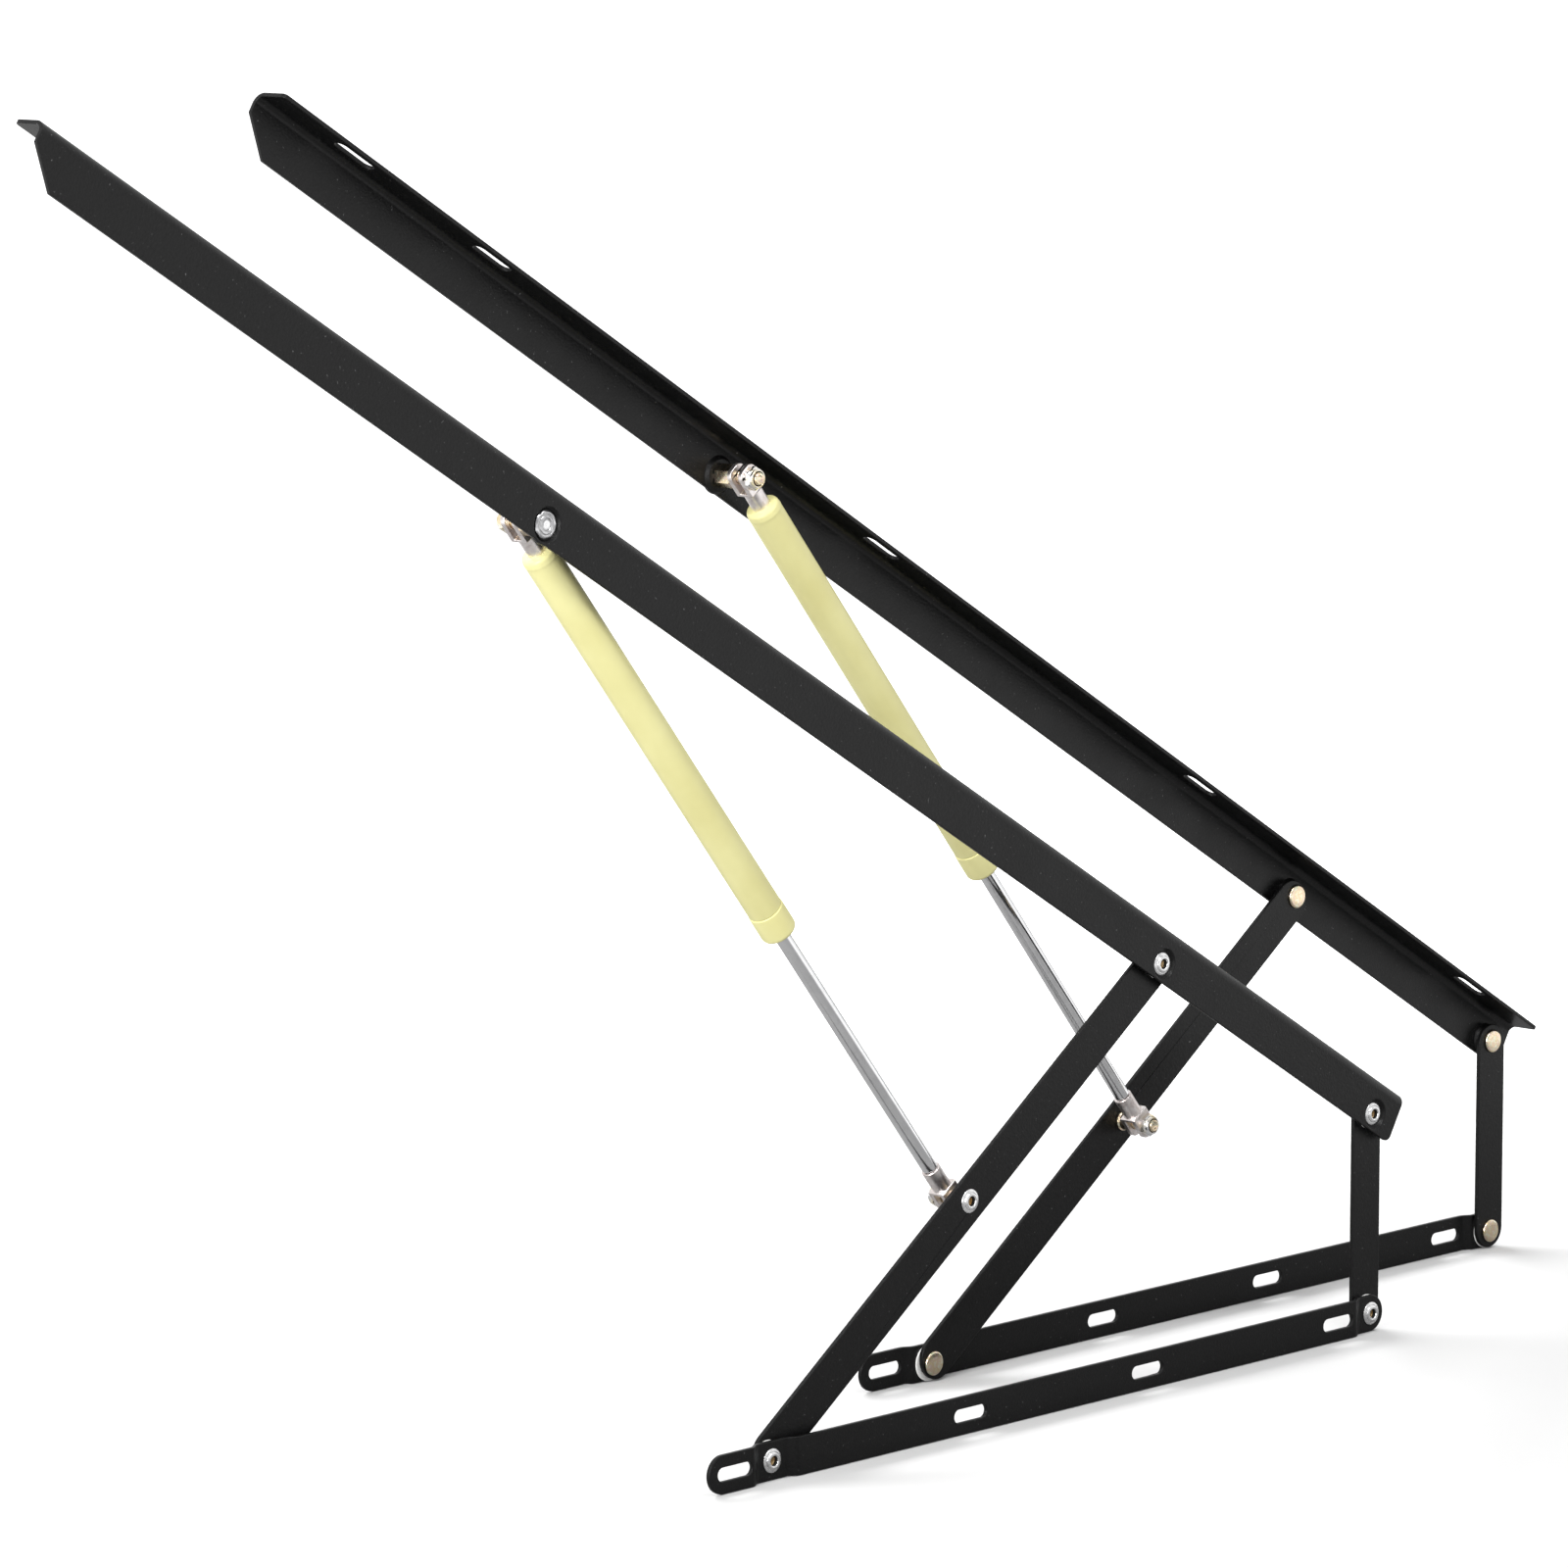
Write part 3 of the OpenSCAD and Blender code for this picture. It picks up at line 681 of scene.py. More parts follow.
@dataclass(frozen=True)
class Assembly:
    """A sub-assembly of one lift unit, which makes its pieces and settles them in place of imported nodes."""

    unit: Unit

    def settle(self, piece: bpy.types.Object, body: str, node: str) -> None:
        """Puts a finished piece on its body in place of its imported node.

        Args:
            piece: the piece.
            body: the body's name without the side; base is shared.
            node: the node that it stands for, without the side.
        """
        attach(piece, "base" if body == "base" else self.unit.node(body))
        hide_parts(self.unit.node(node))
        LOG.info("%s: %d faces", piece.name, len(piece.data.polygons))

    def pressed(self, node: str, ending: str, body: str, slot: str, finish: Finish, edge: EdgeRound) -> None:
        """Makes a pressed piece, a copy of its node with rounded edges, and settles it."""
        name = self.unit.node(node)
        self.settle(edge.copy(frame["nodes"][name], f"{name}_{ending}", finish), body, node)

    def turned(self, node: str, body: str, slot: str, finishes: list[Finish], *turns: Turn,
               ending: str = "turned", sharp: float = SHARP_TURNED) -> None:
        """Makes a piece from turned surfaces and settles it.

        Args:
            node: the node without the side, also the start of the piece's name.
            body: the body that it rides.
            slot: the record's material slot; not used.
            finishes: the finishes in slot order.
            turns: the surfaces.
            ending: the end of the piece's name.
            sharp: least angle of an edge that stays sharp, in degrees.
        """
        skin = Skin()
        for turn in turns:
            skin.add(turn)
        self.settle(skin.build(f"{self.unit.node(node)}_{ending}", finishes, sharp), body, node)


@dataclass(frozen=True)
class Bars(Assembly):
    """The coated bars of a unit: base bar, front link, rear link and lift rail."""

    edge: EdgeRound = EdgeRound(0.0006, 3)
    rail_edge: EdgeRound = EdgeRound(0.0004, 2)

    def build(self) -> None:
        """Builds the four bars."""
        for node, body, edge in (("base_bar", "base", self.edge), ("front_link", "front_arm", self.edge),
                                 ("rear_link", "rear_arm", self.edge), ("lift_rail", "rail", self.rail_edge)):
            self.pressed(node, "coated", body, "black_coat", COAT, edge)


@dataclass(frozen=True)
class Pivots(Assembly):
    """The riveted pivots: golden heads inside, silver washers and rolled hollow tails outside, nylon between.

    Fields are millimetres: radii, heights and depths of head, tail, bore, washers and spacers. The dome is a
    share of the head's radius and crown, bore_from counts a tail's corners up to its bore, soft is corner
    rounding, and an Offsets field is a stretch of a profile, from the radius and height that the method gives.
    """

    head_r: float = 7.85
    head_t: float = 2.2
    crown: float = 0.35
    dome: Point = (0.55, 0.25)
    shank_r: float = 4.0
    tail_r: float = 5.5
    tail_t: float = 1.2
    bore_r: float = 3.0
    bore_depth: float = 3.4
    bore_tip: float = 0.8
    bore_from: int = 6
    washer_r: float = 7.5
    washer_bore: float = 4.1
    washer_rise: float = 0.35
    ring_land: float = 0.6
    base_spacer_r: float = 12.0
    rail_spacer_r: float = 9.75
    rivet_soft: float = 0.22
    ring_soft: float = 0.25
    head_rim: Offsets = ((-1.1, 0.0), (-0.75, -0.12), (-0.25, -0.45), (0.0, -0.95))
    head_foot: Offsets = ((0.0, 0.35), (-0.35, 0.0))
    tail_roll: Offsets = ((0.0, 0.0), (0.1, -0.35))
    tail_lip: Offsets = ((-0.5, 0.25),)
    bore_mouth: Offsets = ((0.9, 0.0), (0.2, 0.3), (0.0, 0.8))
    ring_rim: Offsets = ((-0.55, 0.0), (0.0, 0.4))
    ring_back: Offsets = ((0.0, -0.1), (-0.2, 0.0))

    def head(self, high: float) -> Profile:
        """Works out a head's profile: flat crown with a turned-down rim, from its middle to the shank.

        Args:
            high: level of the crown's middle.

        Returns:
            The corners.
        """
        low, (out, down) = high - self.head_t, self.dome
        return [(0.0, high), (self.head_r * out, high - self.crown * down),
                *steps_at(self.head_r, high - self.crown, self.head_rim),
                *steps_at(self.head_r, low, self.head_foot), (self.shank_r, low)]

    def tail(self, low: float) -> Profile:
        """Works out a rolled hollow tail's profile, from the shank to the bottom of its bore.

        Args:
            low: level at which the bore opens.

        Returns:
            The corners.
        """
        foot, end = low + self.tail_t, low + self.bore_depth
        return [(self.shank_r, foot), *steps_at(self.tail_r, foot, self.tail_roll),
                *steps_at(self.tail_r, low, self.tail_lip), *steps_at(self.bore_r, low, self.bore_mouth),
                (self.bore_r, end), (0.0, end + self.bore_tip)]

    def tailed(self, place: Point, start: Profile, low: float) -> Turn:
        """Works out a riveted surface: silver outside its tail, the bore's wall in near-black rubber as painted
        shade, and the bore's bottom in dark gold, the zinc's own colour with painted shade.

        Args:
            place: where it sits, as (x, z).
            start: the corners before the tail.
            low: level at which the bore opens.

        Returns:
            The surface.
        """
        tail, bore = len(start), len(start) + self.bore_from
        return Turn(self.unit.cross(place), start + self.tail(low), self.rivet_soft,
                    slots={tail: 1, bore: 3, bore + 1: 2})

    def rivets(self, node: str, places: list[Point], body: str) -> None:
        """Makes whole rivets.

        Args:
            node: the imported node.
            places: where they sit, as (x, z).
            body: the body that they ride.
        """
        low, high = self.unit.levels(node)
        turns = [self.tailed(place, self.head(high), low) for place in places]
        self.turned(node, body, "yellow_zinc", RIVETED_WITH_BORE_SHADE, *turns)

    def rings(self, node: str, places: list[Point], body: str, spacer_r: float = 0.0) -> None:
        """Makes washers, whose outer face rises a little to the bore, or flat nylon spacers.

        Args:
            node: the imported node.
            places: where they sit, as (x, z).
            body: the body that they ride.
            spacer_r: the spacers' radius; without it they are washers.
        """
        low, high = self.unit.levels(node)
        outer, rise = (spacer_r, 0.0) if spacer_r else (self.washer_r, self.washer_rise)
        profile = [(self.washer_bore, low), (self.tail_r + self.ring_land, low),
                   *steps_at(outer, low + rise, self.ring_rim), *steps_at(outer, high, self.ring_back),
                   (self.washer_bore, high)]
        finish, slot = (NYLON, "nylon") if spacer_r else (SILVER, "bright_zinc")
        turns = [Turn(self.unit.cross(place), profile, self.ring_soft, ring=True) for place in places]
        self.turned(node, body, slot, [finish], *turns)

    def head_half(self, node: str, body: str) -> None:
        """Makes a parted rivet's head half, from its head to its cut shank.

        Args:
            node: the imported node.
            body: the body that it rides.
        """
        low, high = self.unit.levels(node)
        profile = self.head(high) + [(self.shank_r, low), (0.0, low)]
        turn = Turn(self.unit.through(node), profile, self.rivet_soft)
        self.turned(node, body, "yellow_zinc", [GOLDEN], turn)

    def tail_half(self, node: str, body: str) -> None:
        """Makes a parted rivet's or stud's tail half, from its cut shank to its bore.

        Args:
            node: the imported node.
            body: the body that it rides.
        """
        low, high = self.unit.levels(node)
        shank = [(0.0, high), (self.shank_r, high)]
        self.turned(node, body, "yellow_zinc", RIVETED_WITH_BORE_SHADE, self.tailed(self.unit.middle(node), shank, low))

    def build(self) -> None:
        """Builds every riveted pivot. The rail's front rivet is parted between the link and the rail."""
        base = [self.unit.pivot("front_pivot"), self.unit.pivot("lift")]
        rail = [self.unit.middle("front_rail_rivet_tail"), self.unit.pivot("rail_pivot")]
        self.rivets("base_rivets", base, "base")
        self.rings("base_washers", base, "base")
        self.rings("base_spacers", base, "base", self.base_spacer_r)
        self.rings("rail_spacers", rail, "rail", self.rail_spacer_r)
        self.rings("rail_washers", rail, "rail")
        self.rivets("rear_rail_rivet", rail[1:], "rail")
        self.head_half("front_rail_rivet_head", "front_arm")
        self.tail_half("front_rail_rivet_tail", "rail")


@dataclass(frozen=True)
class Studs(Assembly):
    """The gas spring's two studs and their lock nuts.

    Fields are millimetres, as those of the pivots are. The waves of the beaten rim are (size, count, phase),
    the groove's depths are all round and on one side, and the face's slots are (corner, slot from there on);
    slot 3 paints plain steel's dark grey into the head's two grooves as painted shade.
    """

    stud_r: float = 4.0
    tip_r: float = 3.75
    tip_l: float = 1.2
    dish: float = 0.55
    head_r: float = 8.25
    head_t: float = 2.0
    head_rim: float = 1.1
    head_slack: float = 0.01
    ripple: float = 0.17
    rim_power: int = 6
    waves: tuple[Vec, ...] = ((1.0, 7.0, 0.6), (0.6, 11.0, 2.0))
    groove_r: float = 3.5
    groove_w: float = 0.45
    groove_reach: float = 1.2
    groove_depths: Point = (0.20, 0.55)
    neck: float = 0.6
    hex_across: float = 13.0
    hex_spare: float = 0.02
    hex_from: float = 4.5
    hex_to: float = 17.4
    hex_chamfer: Point = (0.3, 0.75)
    collar_r: float = 6.5
    collar_l: float = 8.3
    nut_bore: float = 4.08
    nut_chamfer: float = 0.2
    crown_r: float = 5.95
    crown_from: float = 4.1
    stud_soft: float = 0.2
    hex_soft: float = 0.12
    nut_soft: float = 0.15
    face: Offsets = ((0.0, 0.05), (1.6, 0.15), (2.6, 0.05), (3.1, 0.05), (3.5, 0.05), (3.9, 0.05), (4.4, 0.05),
                     (5.2, 0.10), (5.7, 0.50), (6.2, 0.50), (6.7, 0.15), (7.6, 0.50))
    # Slot 2 is the bright zinc of the middle; slot 3, plain steel's dark grey, is painted shade in the grooves at
    # 3.5 to 3.9 and 5.7 to 6.2 mm.
    face_slots_with_painted_shade: tuple[tuple[int, int], ...] = ((0, 2), (2, 0), (4, 3), (5, 0), (8, 3), (9, 0))
    head_back: Offsets = ((0.0, -0.2), (-0.4, 0.0))
    tip_edge: Offsets = ((0.0, -0.35), (-0.55, 0.0))
    dish_lip: Offsets = ((2.2, -0.12),)
    dish_floor: Offsets = ((1.5, 0.0), (0.0, -0.15))
    collar_near: Offsets = ((-0.5, 0.0), (0.0, 0.5), (0.0, 1.9), (-0.9, 2.6))
    collar_far: Offsets = ((-0.9, -2.0), (-0.2, -1.3), (-0.2, -0.3), (-0.6, 0.0))
    nut_sides: Offsets = ((0.0, 0.85), (0.0, 3.2))
    nut_shoulder: Offsets = ((-0.25, 3.95),)
    crown_roll: Offsets = ((-0.05, -0.75), (-0.5, -0.1), (-1.0, 0.0))
    insert: Offsets = ((0.45, -0.3), (0.35, -1.3), (0.0, -1.4))

    @property
    def flat(self) -> float:
        """Radius of the hexagons' flats."""
        return self.hex_across / 2

    @property
    def blank(self) -> float:
        """Radius of the bar that the hexagons are cut from, a little beyond their corners."""
        return self.hex_across / math.sqrt(3) + self.hex_spare

    def tip(self, end: float) -> Profile:
        """Profile of a stud's dished end, from its shank to the axis at the given level."""
        return [(self.stud_r, end - self.tip_l), *steps_at(self.tip_r, end, self.tip_edge),
                *steps_at(0.0, end, self.dish_lip), *steps_at(0.0, end - self.dish, self.dish_floor)]

    def beat(self, top: float, radius: np.ndarray, height: np.ndarray, angle: np.ndarray) -> Pair:
        """Gives a riveted head its beaten look: a rippled rim, and a groove that is deeper on one side.

        The radius grows by ripple * (radius / rim)^7 * the waves' sum of size * sin(count * angle + phase). The
        height grows by exp(-((radius - groove_r) / groove_w)^2) * (depth + side depth * max(0, cos(angle))).

        Args:
            top: level of the head's outer face.
            radius: the turned grid's radii.
            height: its heights.
            angle: its angles.

        Returns:
            The changed radii and heights.
        """
        on_head = height < top + self.head_t + self.head_slack
        wave = sum(size * np.sin(count * angle + phase) for size, count, phase in self.waves)
        share = np.where(on_head, (radius / self.head_r) ** self.rim_power, 0.0) * self.ripple / self.head_r
        near = np.exp(-((radius - self.groove_r) / self.groove_w) ** 2)
        groove = near * (on_head & (height < top + self.groove_reach))
        all_round, one_side = self.groove_depths
        depth = all_round + one_side * np.maximum(0.0, np.cos(angle))
        return radius * (1 + share * wave), height + groove * depth

    def upper(self) -> None:
        """Makes the upper stud: beaten head, hexagon and stud with a dished end."""
        low, high = self.unit.levels("upper_stud")
        axis = self.unit.through("upper_stud")
        start, stop = low + self.hex_from, low + self.hex_to
        off, rise = self.hex_chamfer
        head = [*steps_at(0.0, low, self.face), (self.head_r, low + self.head_rim),
                *steps_at(self.head_r, low + self.head_t, self.head_back), (self.stud_r, low + self.head_t),
                (self.stud_r, start + self.neck), (0.0, start + self.neck)]
        body = [(0.0, start), (self.flat - off, start), (self.blank, start + rise), (self.blank, stop - rise),
                (self.flat - off, stop), (self.stud_r, stop), *self.tip(high)]
        # Slot 3 of the head, plain steel, darkens its two grooves as painted shade.
        self.turned("upper_stud", "rail", "yellow_zinc", [WORN, GOLDEN, SILVER, STEEL],
                    Turn(axis, head, self.stud_soft, Fineness.BEATEN, dict(self.face_slots_with_painted_shade),
                         bend=partial(self.beat, low)),
                    Turn(axis, body, self.hex_soft, Fineness.FINE, {0: 1},
                         bend=partial(hexagon, self.hex_across)), sharp=SHARP_HEXAGON)

    def lower(self) -> None:
        """Makes the lower stud with its collar, and its riveted tail and washer on the link."""
        low, high = self.unit.levels("lower_stud")
        top = low + self.collar_l
        profile = [(0.0, low), *steps_at(self.collar_r, low, self.collar_near),
                   *steps_at(self.collar_r, top, self.collar_far), (self.stud_r, top), *self.tip(high)]
        self.turned("lower_stud", "spring_rod", "yellow_zinc", [GOLDEN],
                    Turn(self.unit.through("lower_stud"), profile, self.stud_soft))
        pivots = Pivots(self.unit)
        pivots.tail_half("lower_stud_tail", "front_arm")
        pivots.rings("lower_stud_washer", [self.unit.middle("lower_stud_washer")], "front_arm")

    def nut(self, node: str, body: str) -> None:
        """Makes a lock nut: chamfered hexagon and a crown rolled in round its dark insert.

        Args:
            node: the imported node.
            body: the body that it rides.
        """
        low, high = self.unit.levels(node)
        metal = [(self.nut_bore, low), (self.flat - self.nut_chamfer, low),
                 *steps_at(self.blank, low, self.nut_sides), *steps_at(self.flat, low, self.nut_shoulder),
                 (self.crown_r, low + self.crown_from), *steps_at(self.crown_r, high, self.crown_roll)]
        profile = metal + steps_at(self.nut_bore, high, self.insert)
        self.turned(node, body, "yellow_zinc", [PALE, RUBBER],
                    Turn(self.unit.through(node), profile, self.nut_soft, Fineness.FINE, {len(metal): 1}, True,
                         partial(hexagon, self.hex_across)), sharp=SHARP_HEXAGON)

    def build(self) -> None:
        """Builds both studs and nuts."""
        self.upper()
        self.lower()
        self.nut("upper_nut", "rail")
        self.nut("lower_nut", "spring_rod")


@dataclass(frozen=True)
class GasSpring(Assembly):
    """One gas spring: painted tube and end collar, chromed rod, plated forks, hidden guide, seal and piston.

    Fields are millimetres, as those of the pivots are, but for the forks' rounding and the hidden nodes' slots.
    """

    tube_r: float = 11.0
    tube_bore: float = 9.5
    end_wall: float = 6.0
    seat_r: float = 6.2
    collar_r: float = 11.4
    collar_bore: float = 5.25
    rod_r: float = 5.0
    tube_soft: float = 0.8
    collar_soft: float = 0.5
    rod_soft: float = 0.3
    tube_seat: Offsets = ((0.0, 0.0), (1.6, 0.1))
    shoulder: Offsets = ((-2.0, 0.3), (-0.75, 1.0), (-0.2, 2.1), (-0.02, 3.6), (0.16, 5.0), (-0.02, 6.2),
                         (0.0, 9.0))
    collar_near: Offsets = ((-0.6, 0.0), (0.0, 0.6))
    collar_far: Offsets = ((0.0, -2.2), (-0.5, -0.8), (-1.8, 0.0))
    collar_mouth: Offsets = ((0.6, 0.0), (0.0, -0.6))
    piston_neck: Offsets = ((0.0, 0.0), (2.6, 0.0), (3.0, 0.5), (3.0, 11.5))
    rod_start: Offsets = ((-0.6, 12.0), (0.0, 12.6))
    rod_stop: Offsets = ((0.0, -11.0), (-0.7, -10.2))
    fork_neck: Offsets = ((3.9, -10.0), (3.9, -0.5), (3.4, 0.0), (0.0, 0.0))
    fork_edge: EdgeRound = EdgeRound(0.0006, 3, 28.0)
    hidden: tuple[tuple[str, Finish], ...] = (("rod_guide", STEEL), ("rod_seal", RUBBER), ("piston", STEEL))

    def tube(self) -> None:
        """Makes the tube: drawn-in shoulder with a faint ridge, straight wall, open end for the guide."""
        start, stop = self.unit.stations("gas_tube")
        wall = start + self.end_wall
        profile = [(0.0, start), *steps_at(self.seat_r, start, self.tube_seat),
                   *steps_at(self.tube_r, start, self.shoulder), (self.tube_r, stop), (self.tube_bore, stop),
                   (self.tube_bore, wall), (0.0, wall)]
        self.turned("gas_tube", "spring_tube", "tube_paint", [ENAMEL],
                    Turn(self.unit.spring(), profile, self.tube_soft, Fineness.FINE), ending="painted")

    def collar(self) -> None:
        """Makes the end collar: a cap of slightly larger radius with soft edges, bored for the rod."""
        start, stop = self.unit.stations("end_collar")
        profile = [(self.collar_bore, start), *steps_at(self.collar_r, start, self.collar_near),
                   *steps_at(self.collar_r, stop, self.collar_far),
                   *steps_at(self.collar_bore, stop, self.collar_mouth)]
        self.turned("end_collar", "spring_tube", "tube_paint", [ENAMEL],
                    Turn(self.unit.spring(), profile, self.collar_soft, Fineness.FINE, ring=True),
                    ending="painted")

    def rod(self) -> None:
        """Makes the rod: a neck in the piston, a shaft with chamfered ends and a neck in the fork."""
        start, stop = self.unit.stations("piston_rod")
        profile = [*steps_at(0.0, start, self.piston_neck), *steps_at(self.rod_r, start, self.rod_start),
                   *steps_at(self.rod_r, stop, self.rod_stop), *steps_at(0.0, stop, self.fork_neck)]
        slope = self.unit.slope()
        chrome = ground_chrome(math.atan2(slope[2], slope[0]))
        self.turned("piston_rod", "spring_rod", "rod_chrome", [chrome],
                    Turn(self.unit.spring(), profile, self.rod_soft, Fineness.ROD), ending="ground")

    def inside(self) -> None:
        """Gives the hidden pieces their finishes, whose names are also the record's slots."""
        for node, finish in self.hidden:
            solid = frame["nodes"][self.unit.node(node)]
            solid.data.materials.clear()
            solid.data.materials.append(PAINTS.get(finish))
            LOG.info("%s: %s", solid.name, finish.name)

    def build(self) -> None:
        """Builds the whole gas spring."""
        self.tube()
        self.collar()
        self.rod()
        for node, body in (("upper_fork", "spring_tube"), ("lower_fork", "spring_rod")):
            self.pressed(node, "plated", body, "fork_zinc", PINKISH, self.fork_edge)
        self.inside()


@dataclass(frozen=True)
class Softbox:
    """A soft light.

    Fields: name, where it stands, what it faces, size in metres, power in watts, whether metal mirrors it.
    """

    name: str
    place: Vec
    aim: Vec
    size: Point
    power: float
    mirrored: bool

    def build(self) -> None:
        """Puts up the light."""
        lamp = bpy.data.lights.new(self.name, "AREA")
        lamp.shape, lamp.size, lamp.size_y, lamp.energy = "RECTANGLE", *self.size, self.power
        box = bpy.data.objects.new(self.name, lamp)
        box.location = self.place
        box.rotation_euler = (Vector(self.aim) - Vector(self.place)).to_track_quat("-Z", "Y").to_euler()
        box.visible_camera = False
        box.visible_glossy = self.mirrored
        bpy.context.scene.collection.objects.link(box)


@dataclass(frozen=True)
class Studio:
    """White floor and backdrop, soft light from behind, from the left and from above, the photograph's camera.

    Camera fields: focal length in pixels of the frame, sensor width, clipping in metres, azimuth, elevation and
    roll in degrees, distance and the point looked at, in millimetres from the right unit's front pivot. Floor
    fields are metres and levels. The two turns say where the room gives way to the backdrop, as cosines from
    the view's direction, for its light and for what metal mirrors.
    """

    focal: float = 7628.097
    frame_px: float = 1600.0
    sensor: float = 36.0
    clip: Point = (0.05, 200.0)
    azimuth: float = -45.317
    elevation: float = 8.286
    roll: float = -0.574
    distance: float = 4430.334
    look_x: float = 11.942
    look_z: float = 409.210
    floor_half: float = 60.0
    floor_drop: float = 0.0004
    floor_seen: float = 0.60
    floor_bounce: float = 0.22
    floor_glow: float = 0.03
    glow_reach: Point = (0.7, 1.8)
    backdrop_level: float = 0.70
    room_level: float = 0.73
    room_turn: Point = (-0.5, 0.4)
    mirror_turn: Point = (-0.2, 0.2)
    boxes: tuple[Softbox, ...] = (
        Softbox("back_softbox", (0.4, 2.2, 2.2), (0.15, 0.0, 0.0), (3.0, 1.4), 118.0, False),
        Softbox("left_softbox", (-2.8, -0.6, 1.1), (0.0, 0.0, 0.35), (0.9, 2.0), 84.0, True),
        Softbox("top_softbox", (-0.5, -1.9, 2.9), (0.0, 0.0, 0.3), (1.6, 0.9), 44.0, True),
    )

    def camera(self, unit: Unit) -> None:
        """Sets the camera at the photograph's viewpoint.

        Args:
            unit: the unit whose front pivot the view is measured from.
        """
        az, el, roll = (math.radians(a) for a in (self.azimuth, self.elevation, self.roll))
        back = Vector((math.sin(az) * math.cos(el), -math.cos(az) * math.cos(el), math.sin(el)))
        level = Vector((math.cos(az), math.sin(az), 0.0))
        rise = back.cross(level)
        right = level * math.cos(roll) + rise * math.sin(roll)
        upward = rise * math.cos(roll) - level * math.sin(roll)
        x, z = unit.pivot("front_pivot")
        spot = Vector((x + self.look_x, unit.plane, z + self.look_z)) * MM
        lens = bpy.data.cameras.new("photo_camera")
        lens.sensor_width, lens.sensor_fit = self.sensor, "HORIZONTAL"
        lens.lens = self.focal / self.frame_px * lens.sensor_width
        lens.clip_start, lens.clip_end = self.clip
        view = bpy.data.objects.new("photo_camera", lens)
        turn = Matrix((right, upward, back)).transposed().to_4x4()
        view.matrix_world = Matrix.Translation(spot + back * self.distance * MM) @ turn
        bpy.context.scene.collection.objects.link(view)
        bpy.context.scene.camera = view

    @staticmethod
    def joined(tree: bpy.types.NodeTree, kind: str, *values: Socket) -> Socket:
        """Joins values by one kind of sum.

        Args:
            tree: the tree that the nodes go into.
            kind: the Math node's operation.
            values: outputs, joined from left to right.

        Returns:
            The result.
        """
        result = values[0]
        for value in values[1:]:
            node = tree.nodes.new("ShaderNodeMath")
            node.operation = kind
            tree.links.new(result, node.inputs[0])
            tree.links.new(value, node.inputs[1])
            result = node.outputs[0]
        return result

    def backdrop(self) -> None:
        """Makes the world: white backdrop where it is seen, a room on the viewer's side that only lights."""
        world = bpy.data.worlds.new("white_backdrop")
        world.use_nodes = True
        tree = world.node_tree
        tree.nodes.clear()
        light, white = (tree.nodes.new("ShaderNodeBackground") for _ in range(2))
        for node in (light, white):
            node.inputs["Color"].default_value = WHITE
        facing = tree.nodes.new("ShaderNodeVectorMath")
        facing.operation = "DOT_PRODUCT"
        az = math.radians(self.azimuth)
        facing.inputs[1].default_value = (-math.sin(az), math.cos(az), 0.0)
        tree.links.new(tree.nodes.new("ShaderNodeTexCoord").outputs["Generated"], facing.inputs[0])
        ahead = facing.outputs["Value"]
        level = ranged(tree, ahead, self.room_turn, (self.room_level, self.backdrop_level), "SMOOTHSTEP")
        tree.links.new(level, light.inputs["Strength"])
        path = tree.nodes.new("ShaderNodeLightPath").outputs
        behind = ranged(tree, ahead, self.mirror_turn, (0.0, 1.0), "SMOOTHSTEP")
        mirrored = self.joined(tree, "MULTIPLY", path["Is Glossy Ray"], behind)
        seen = self.joined(tree, "MAXIMUM", path["Is Camera Ray"], path["Is Transmission Ray"], mirrored)
        mix = tree.nodes.new("ShaderNodeMixShader")
        out = tree.nodes.new("ShaderNodeOutputWorld")
        for source, socket in ((seen, mix.inputs[0]), (light.outputs[0], mix.inputs[1]),
                               (white.outputs[0], mix.inputs[2]), (mix.outputs[0], out.inputs["Surface"])):
            tree.links.new(source, socket)
        bpy.context.scene.world = world

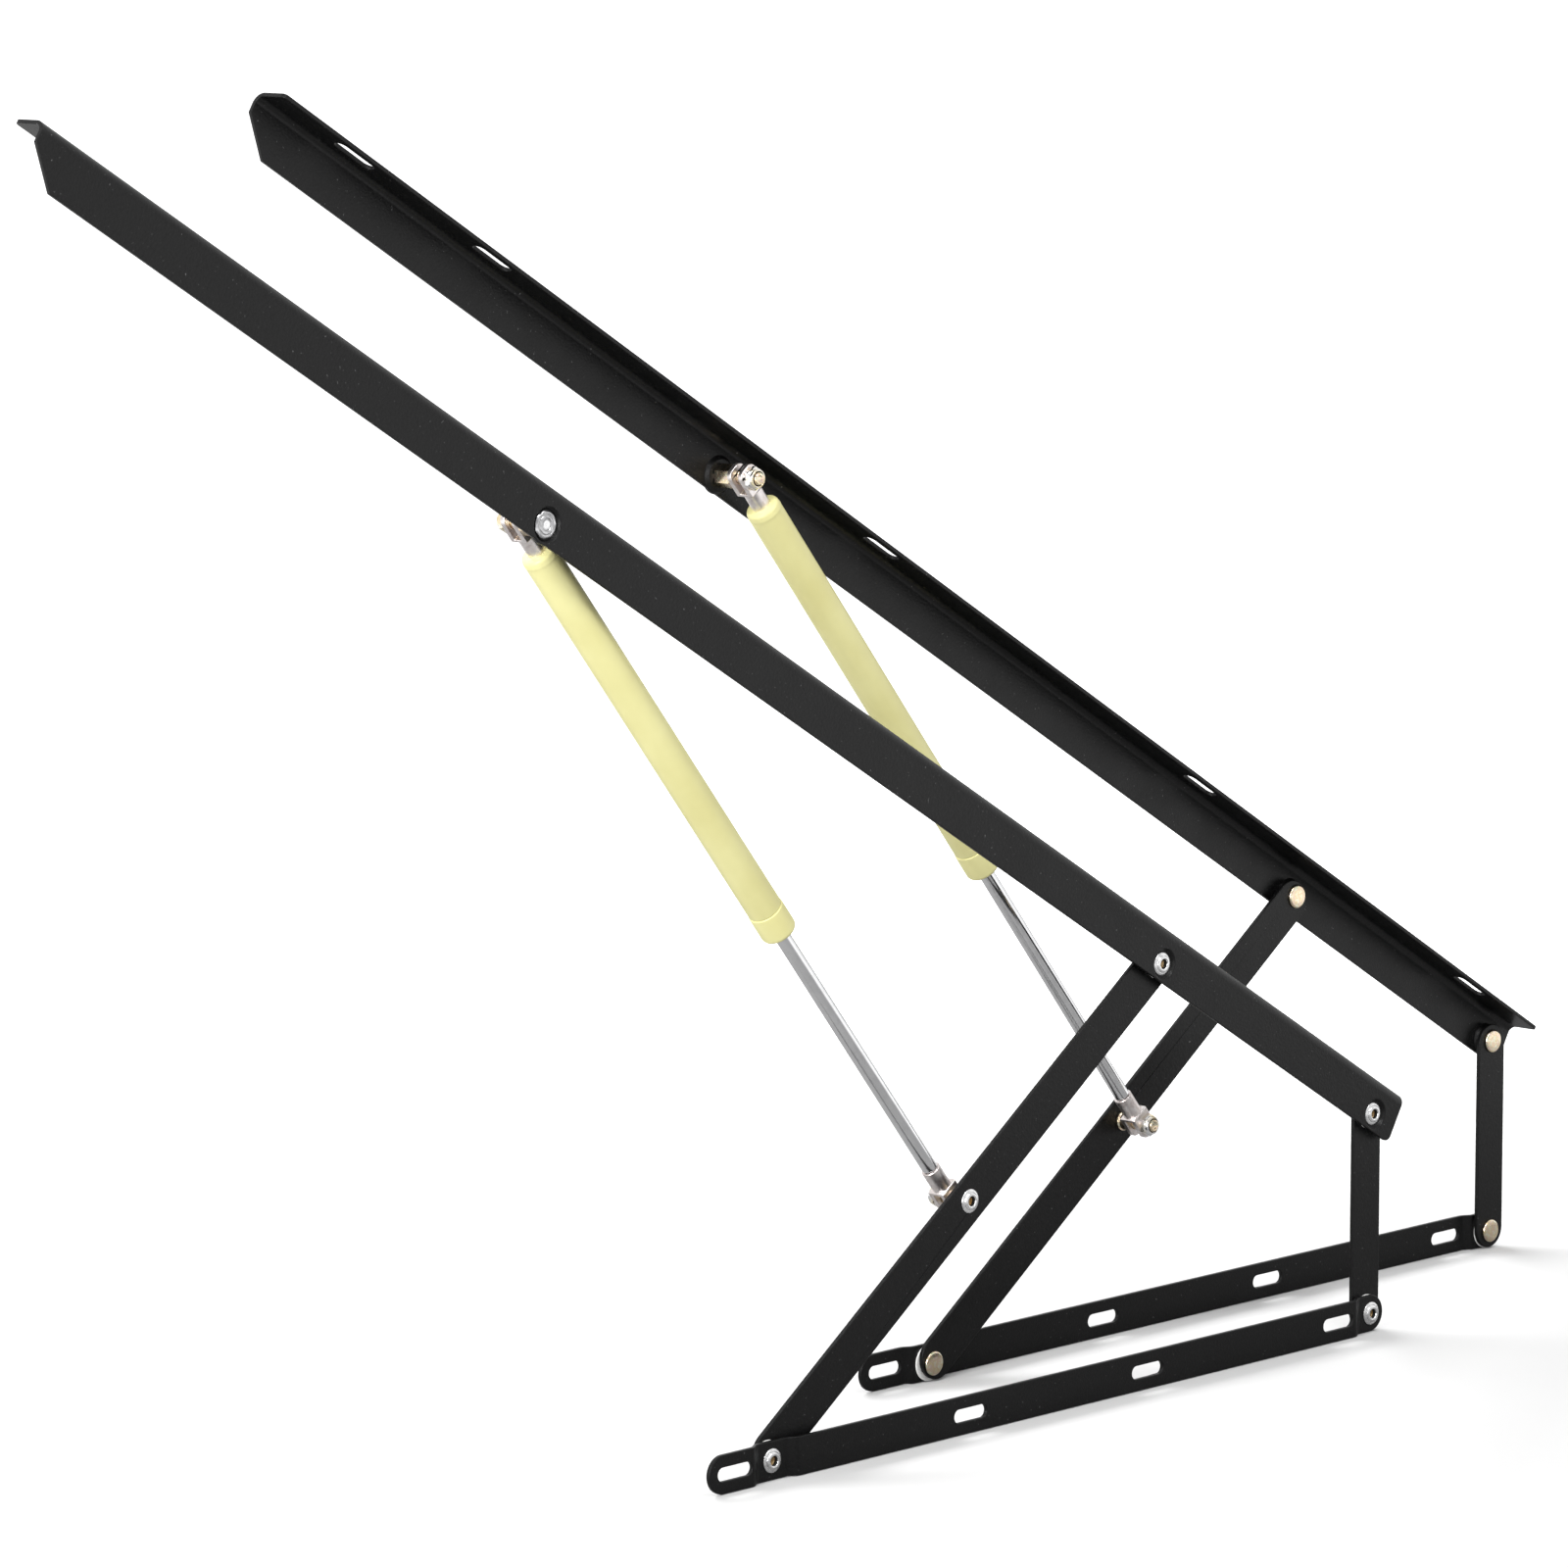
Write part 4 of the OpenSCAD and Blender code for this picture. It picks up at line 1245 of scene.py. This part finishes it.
    def floor(self) -> None:
        """Lays the floor: pale, white by its own glow where it is seen, so that soft shadows stay on it."""
        half, level = self.floor_half, -self.floor_drop
        mesh = bpy.data.meshes.new("studio_floor")
        corners = [(x, y, level) for x, y in ((-half, -half), (half, -half), (half, half), (-half, half))]
        mesh.from_pydata(corners, [], [[0, 1, 2, 3]])
        material = bpy.data.materials.new("studio_floor")
        material.use_nodes = True
        tree = material.node_tree
        tree.nodes.clear()
        path = tree.nodes.new("ShaderNodeLightPath").outputs
        matt, glow = tree.nodes.new("ShaderNodeBsdfDiffuse"), tree.nodes.new("ShaderNodeEmission")
        glow.inputs["Color"].default_value = WHITE
        tones = (self.floor_bounce, self.floor_seen)
        pale = ranged(tree, path["Is Camera Ray"], (0.0, 1.0), tones, "SMOOTHSTEP")
        away = tree.nodes.new("ShaderNodeVectorMath")
        away.operation = "LENGTH"
        tree.links.new(tree.nodes.new("ShaderNodeTexCoord").outputs["Object"], away.inputs[0])
        fade = ranged(tree, away.outputs["Value"], self.glow_reach, (self.floor_glow, 1.0), "SMOOTHSTEP")
        rays = (path[f"Is {ray} Ray"] for ray in ("Camera", "Glossy", "Transmission"))
        seen = self.joined(tree, "MAXIMUM", *rays)
        strength = self.joined(tree, "MULTIPLY", fade, seen)
        both, out = tree.nodes.new("ShaderNodeAddShader"), tree.nodes.new("ShaderNodeOutputMaterial")
        for source, socket in ((pale, matt.inputs["Color"]), (strength, glow.inputs["Strength"]),
                               (matt.outputs[0], both.inputs[0]), (glow.outputs[0], both.inputs[1]),
                               (both.outputs[0], out.inputs["Surface"])):
            tree.links.new(source, socket)
        mesh.materials.append(material)
        ground = bpy.data.objects.new("studio_floor", mesh)
        bpy.context.scene.collection.objects.link(ground)

    def build(self, unit: Unit) -> None:
        """Sets up backdrop, floor, lights and camera.

        Args:
            unit: the unit whose front pivot the view is measured from.
        """
        bpy.context.scene.view_settings.view_transform = "Standard"
        self.backdrop()
        self.floor()
        for box in self.boxes:
            box.build()
        self.camera(unit)


def main() -> None:
    """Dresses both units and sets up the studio."""
    logging.basicConfig(level=logging.INFO, format="%(name)s %(message)s")
    units = [Unit(side) for side in Side]
    for unit in units:
        for assembly in (Bars, Pivots, Studs, GasSpring):
            assembly(unit).build()
    Studio().build(units[0])


if __name__ == "__main__":
    main()
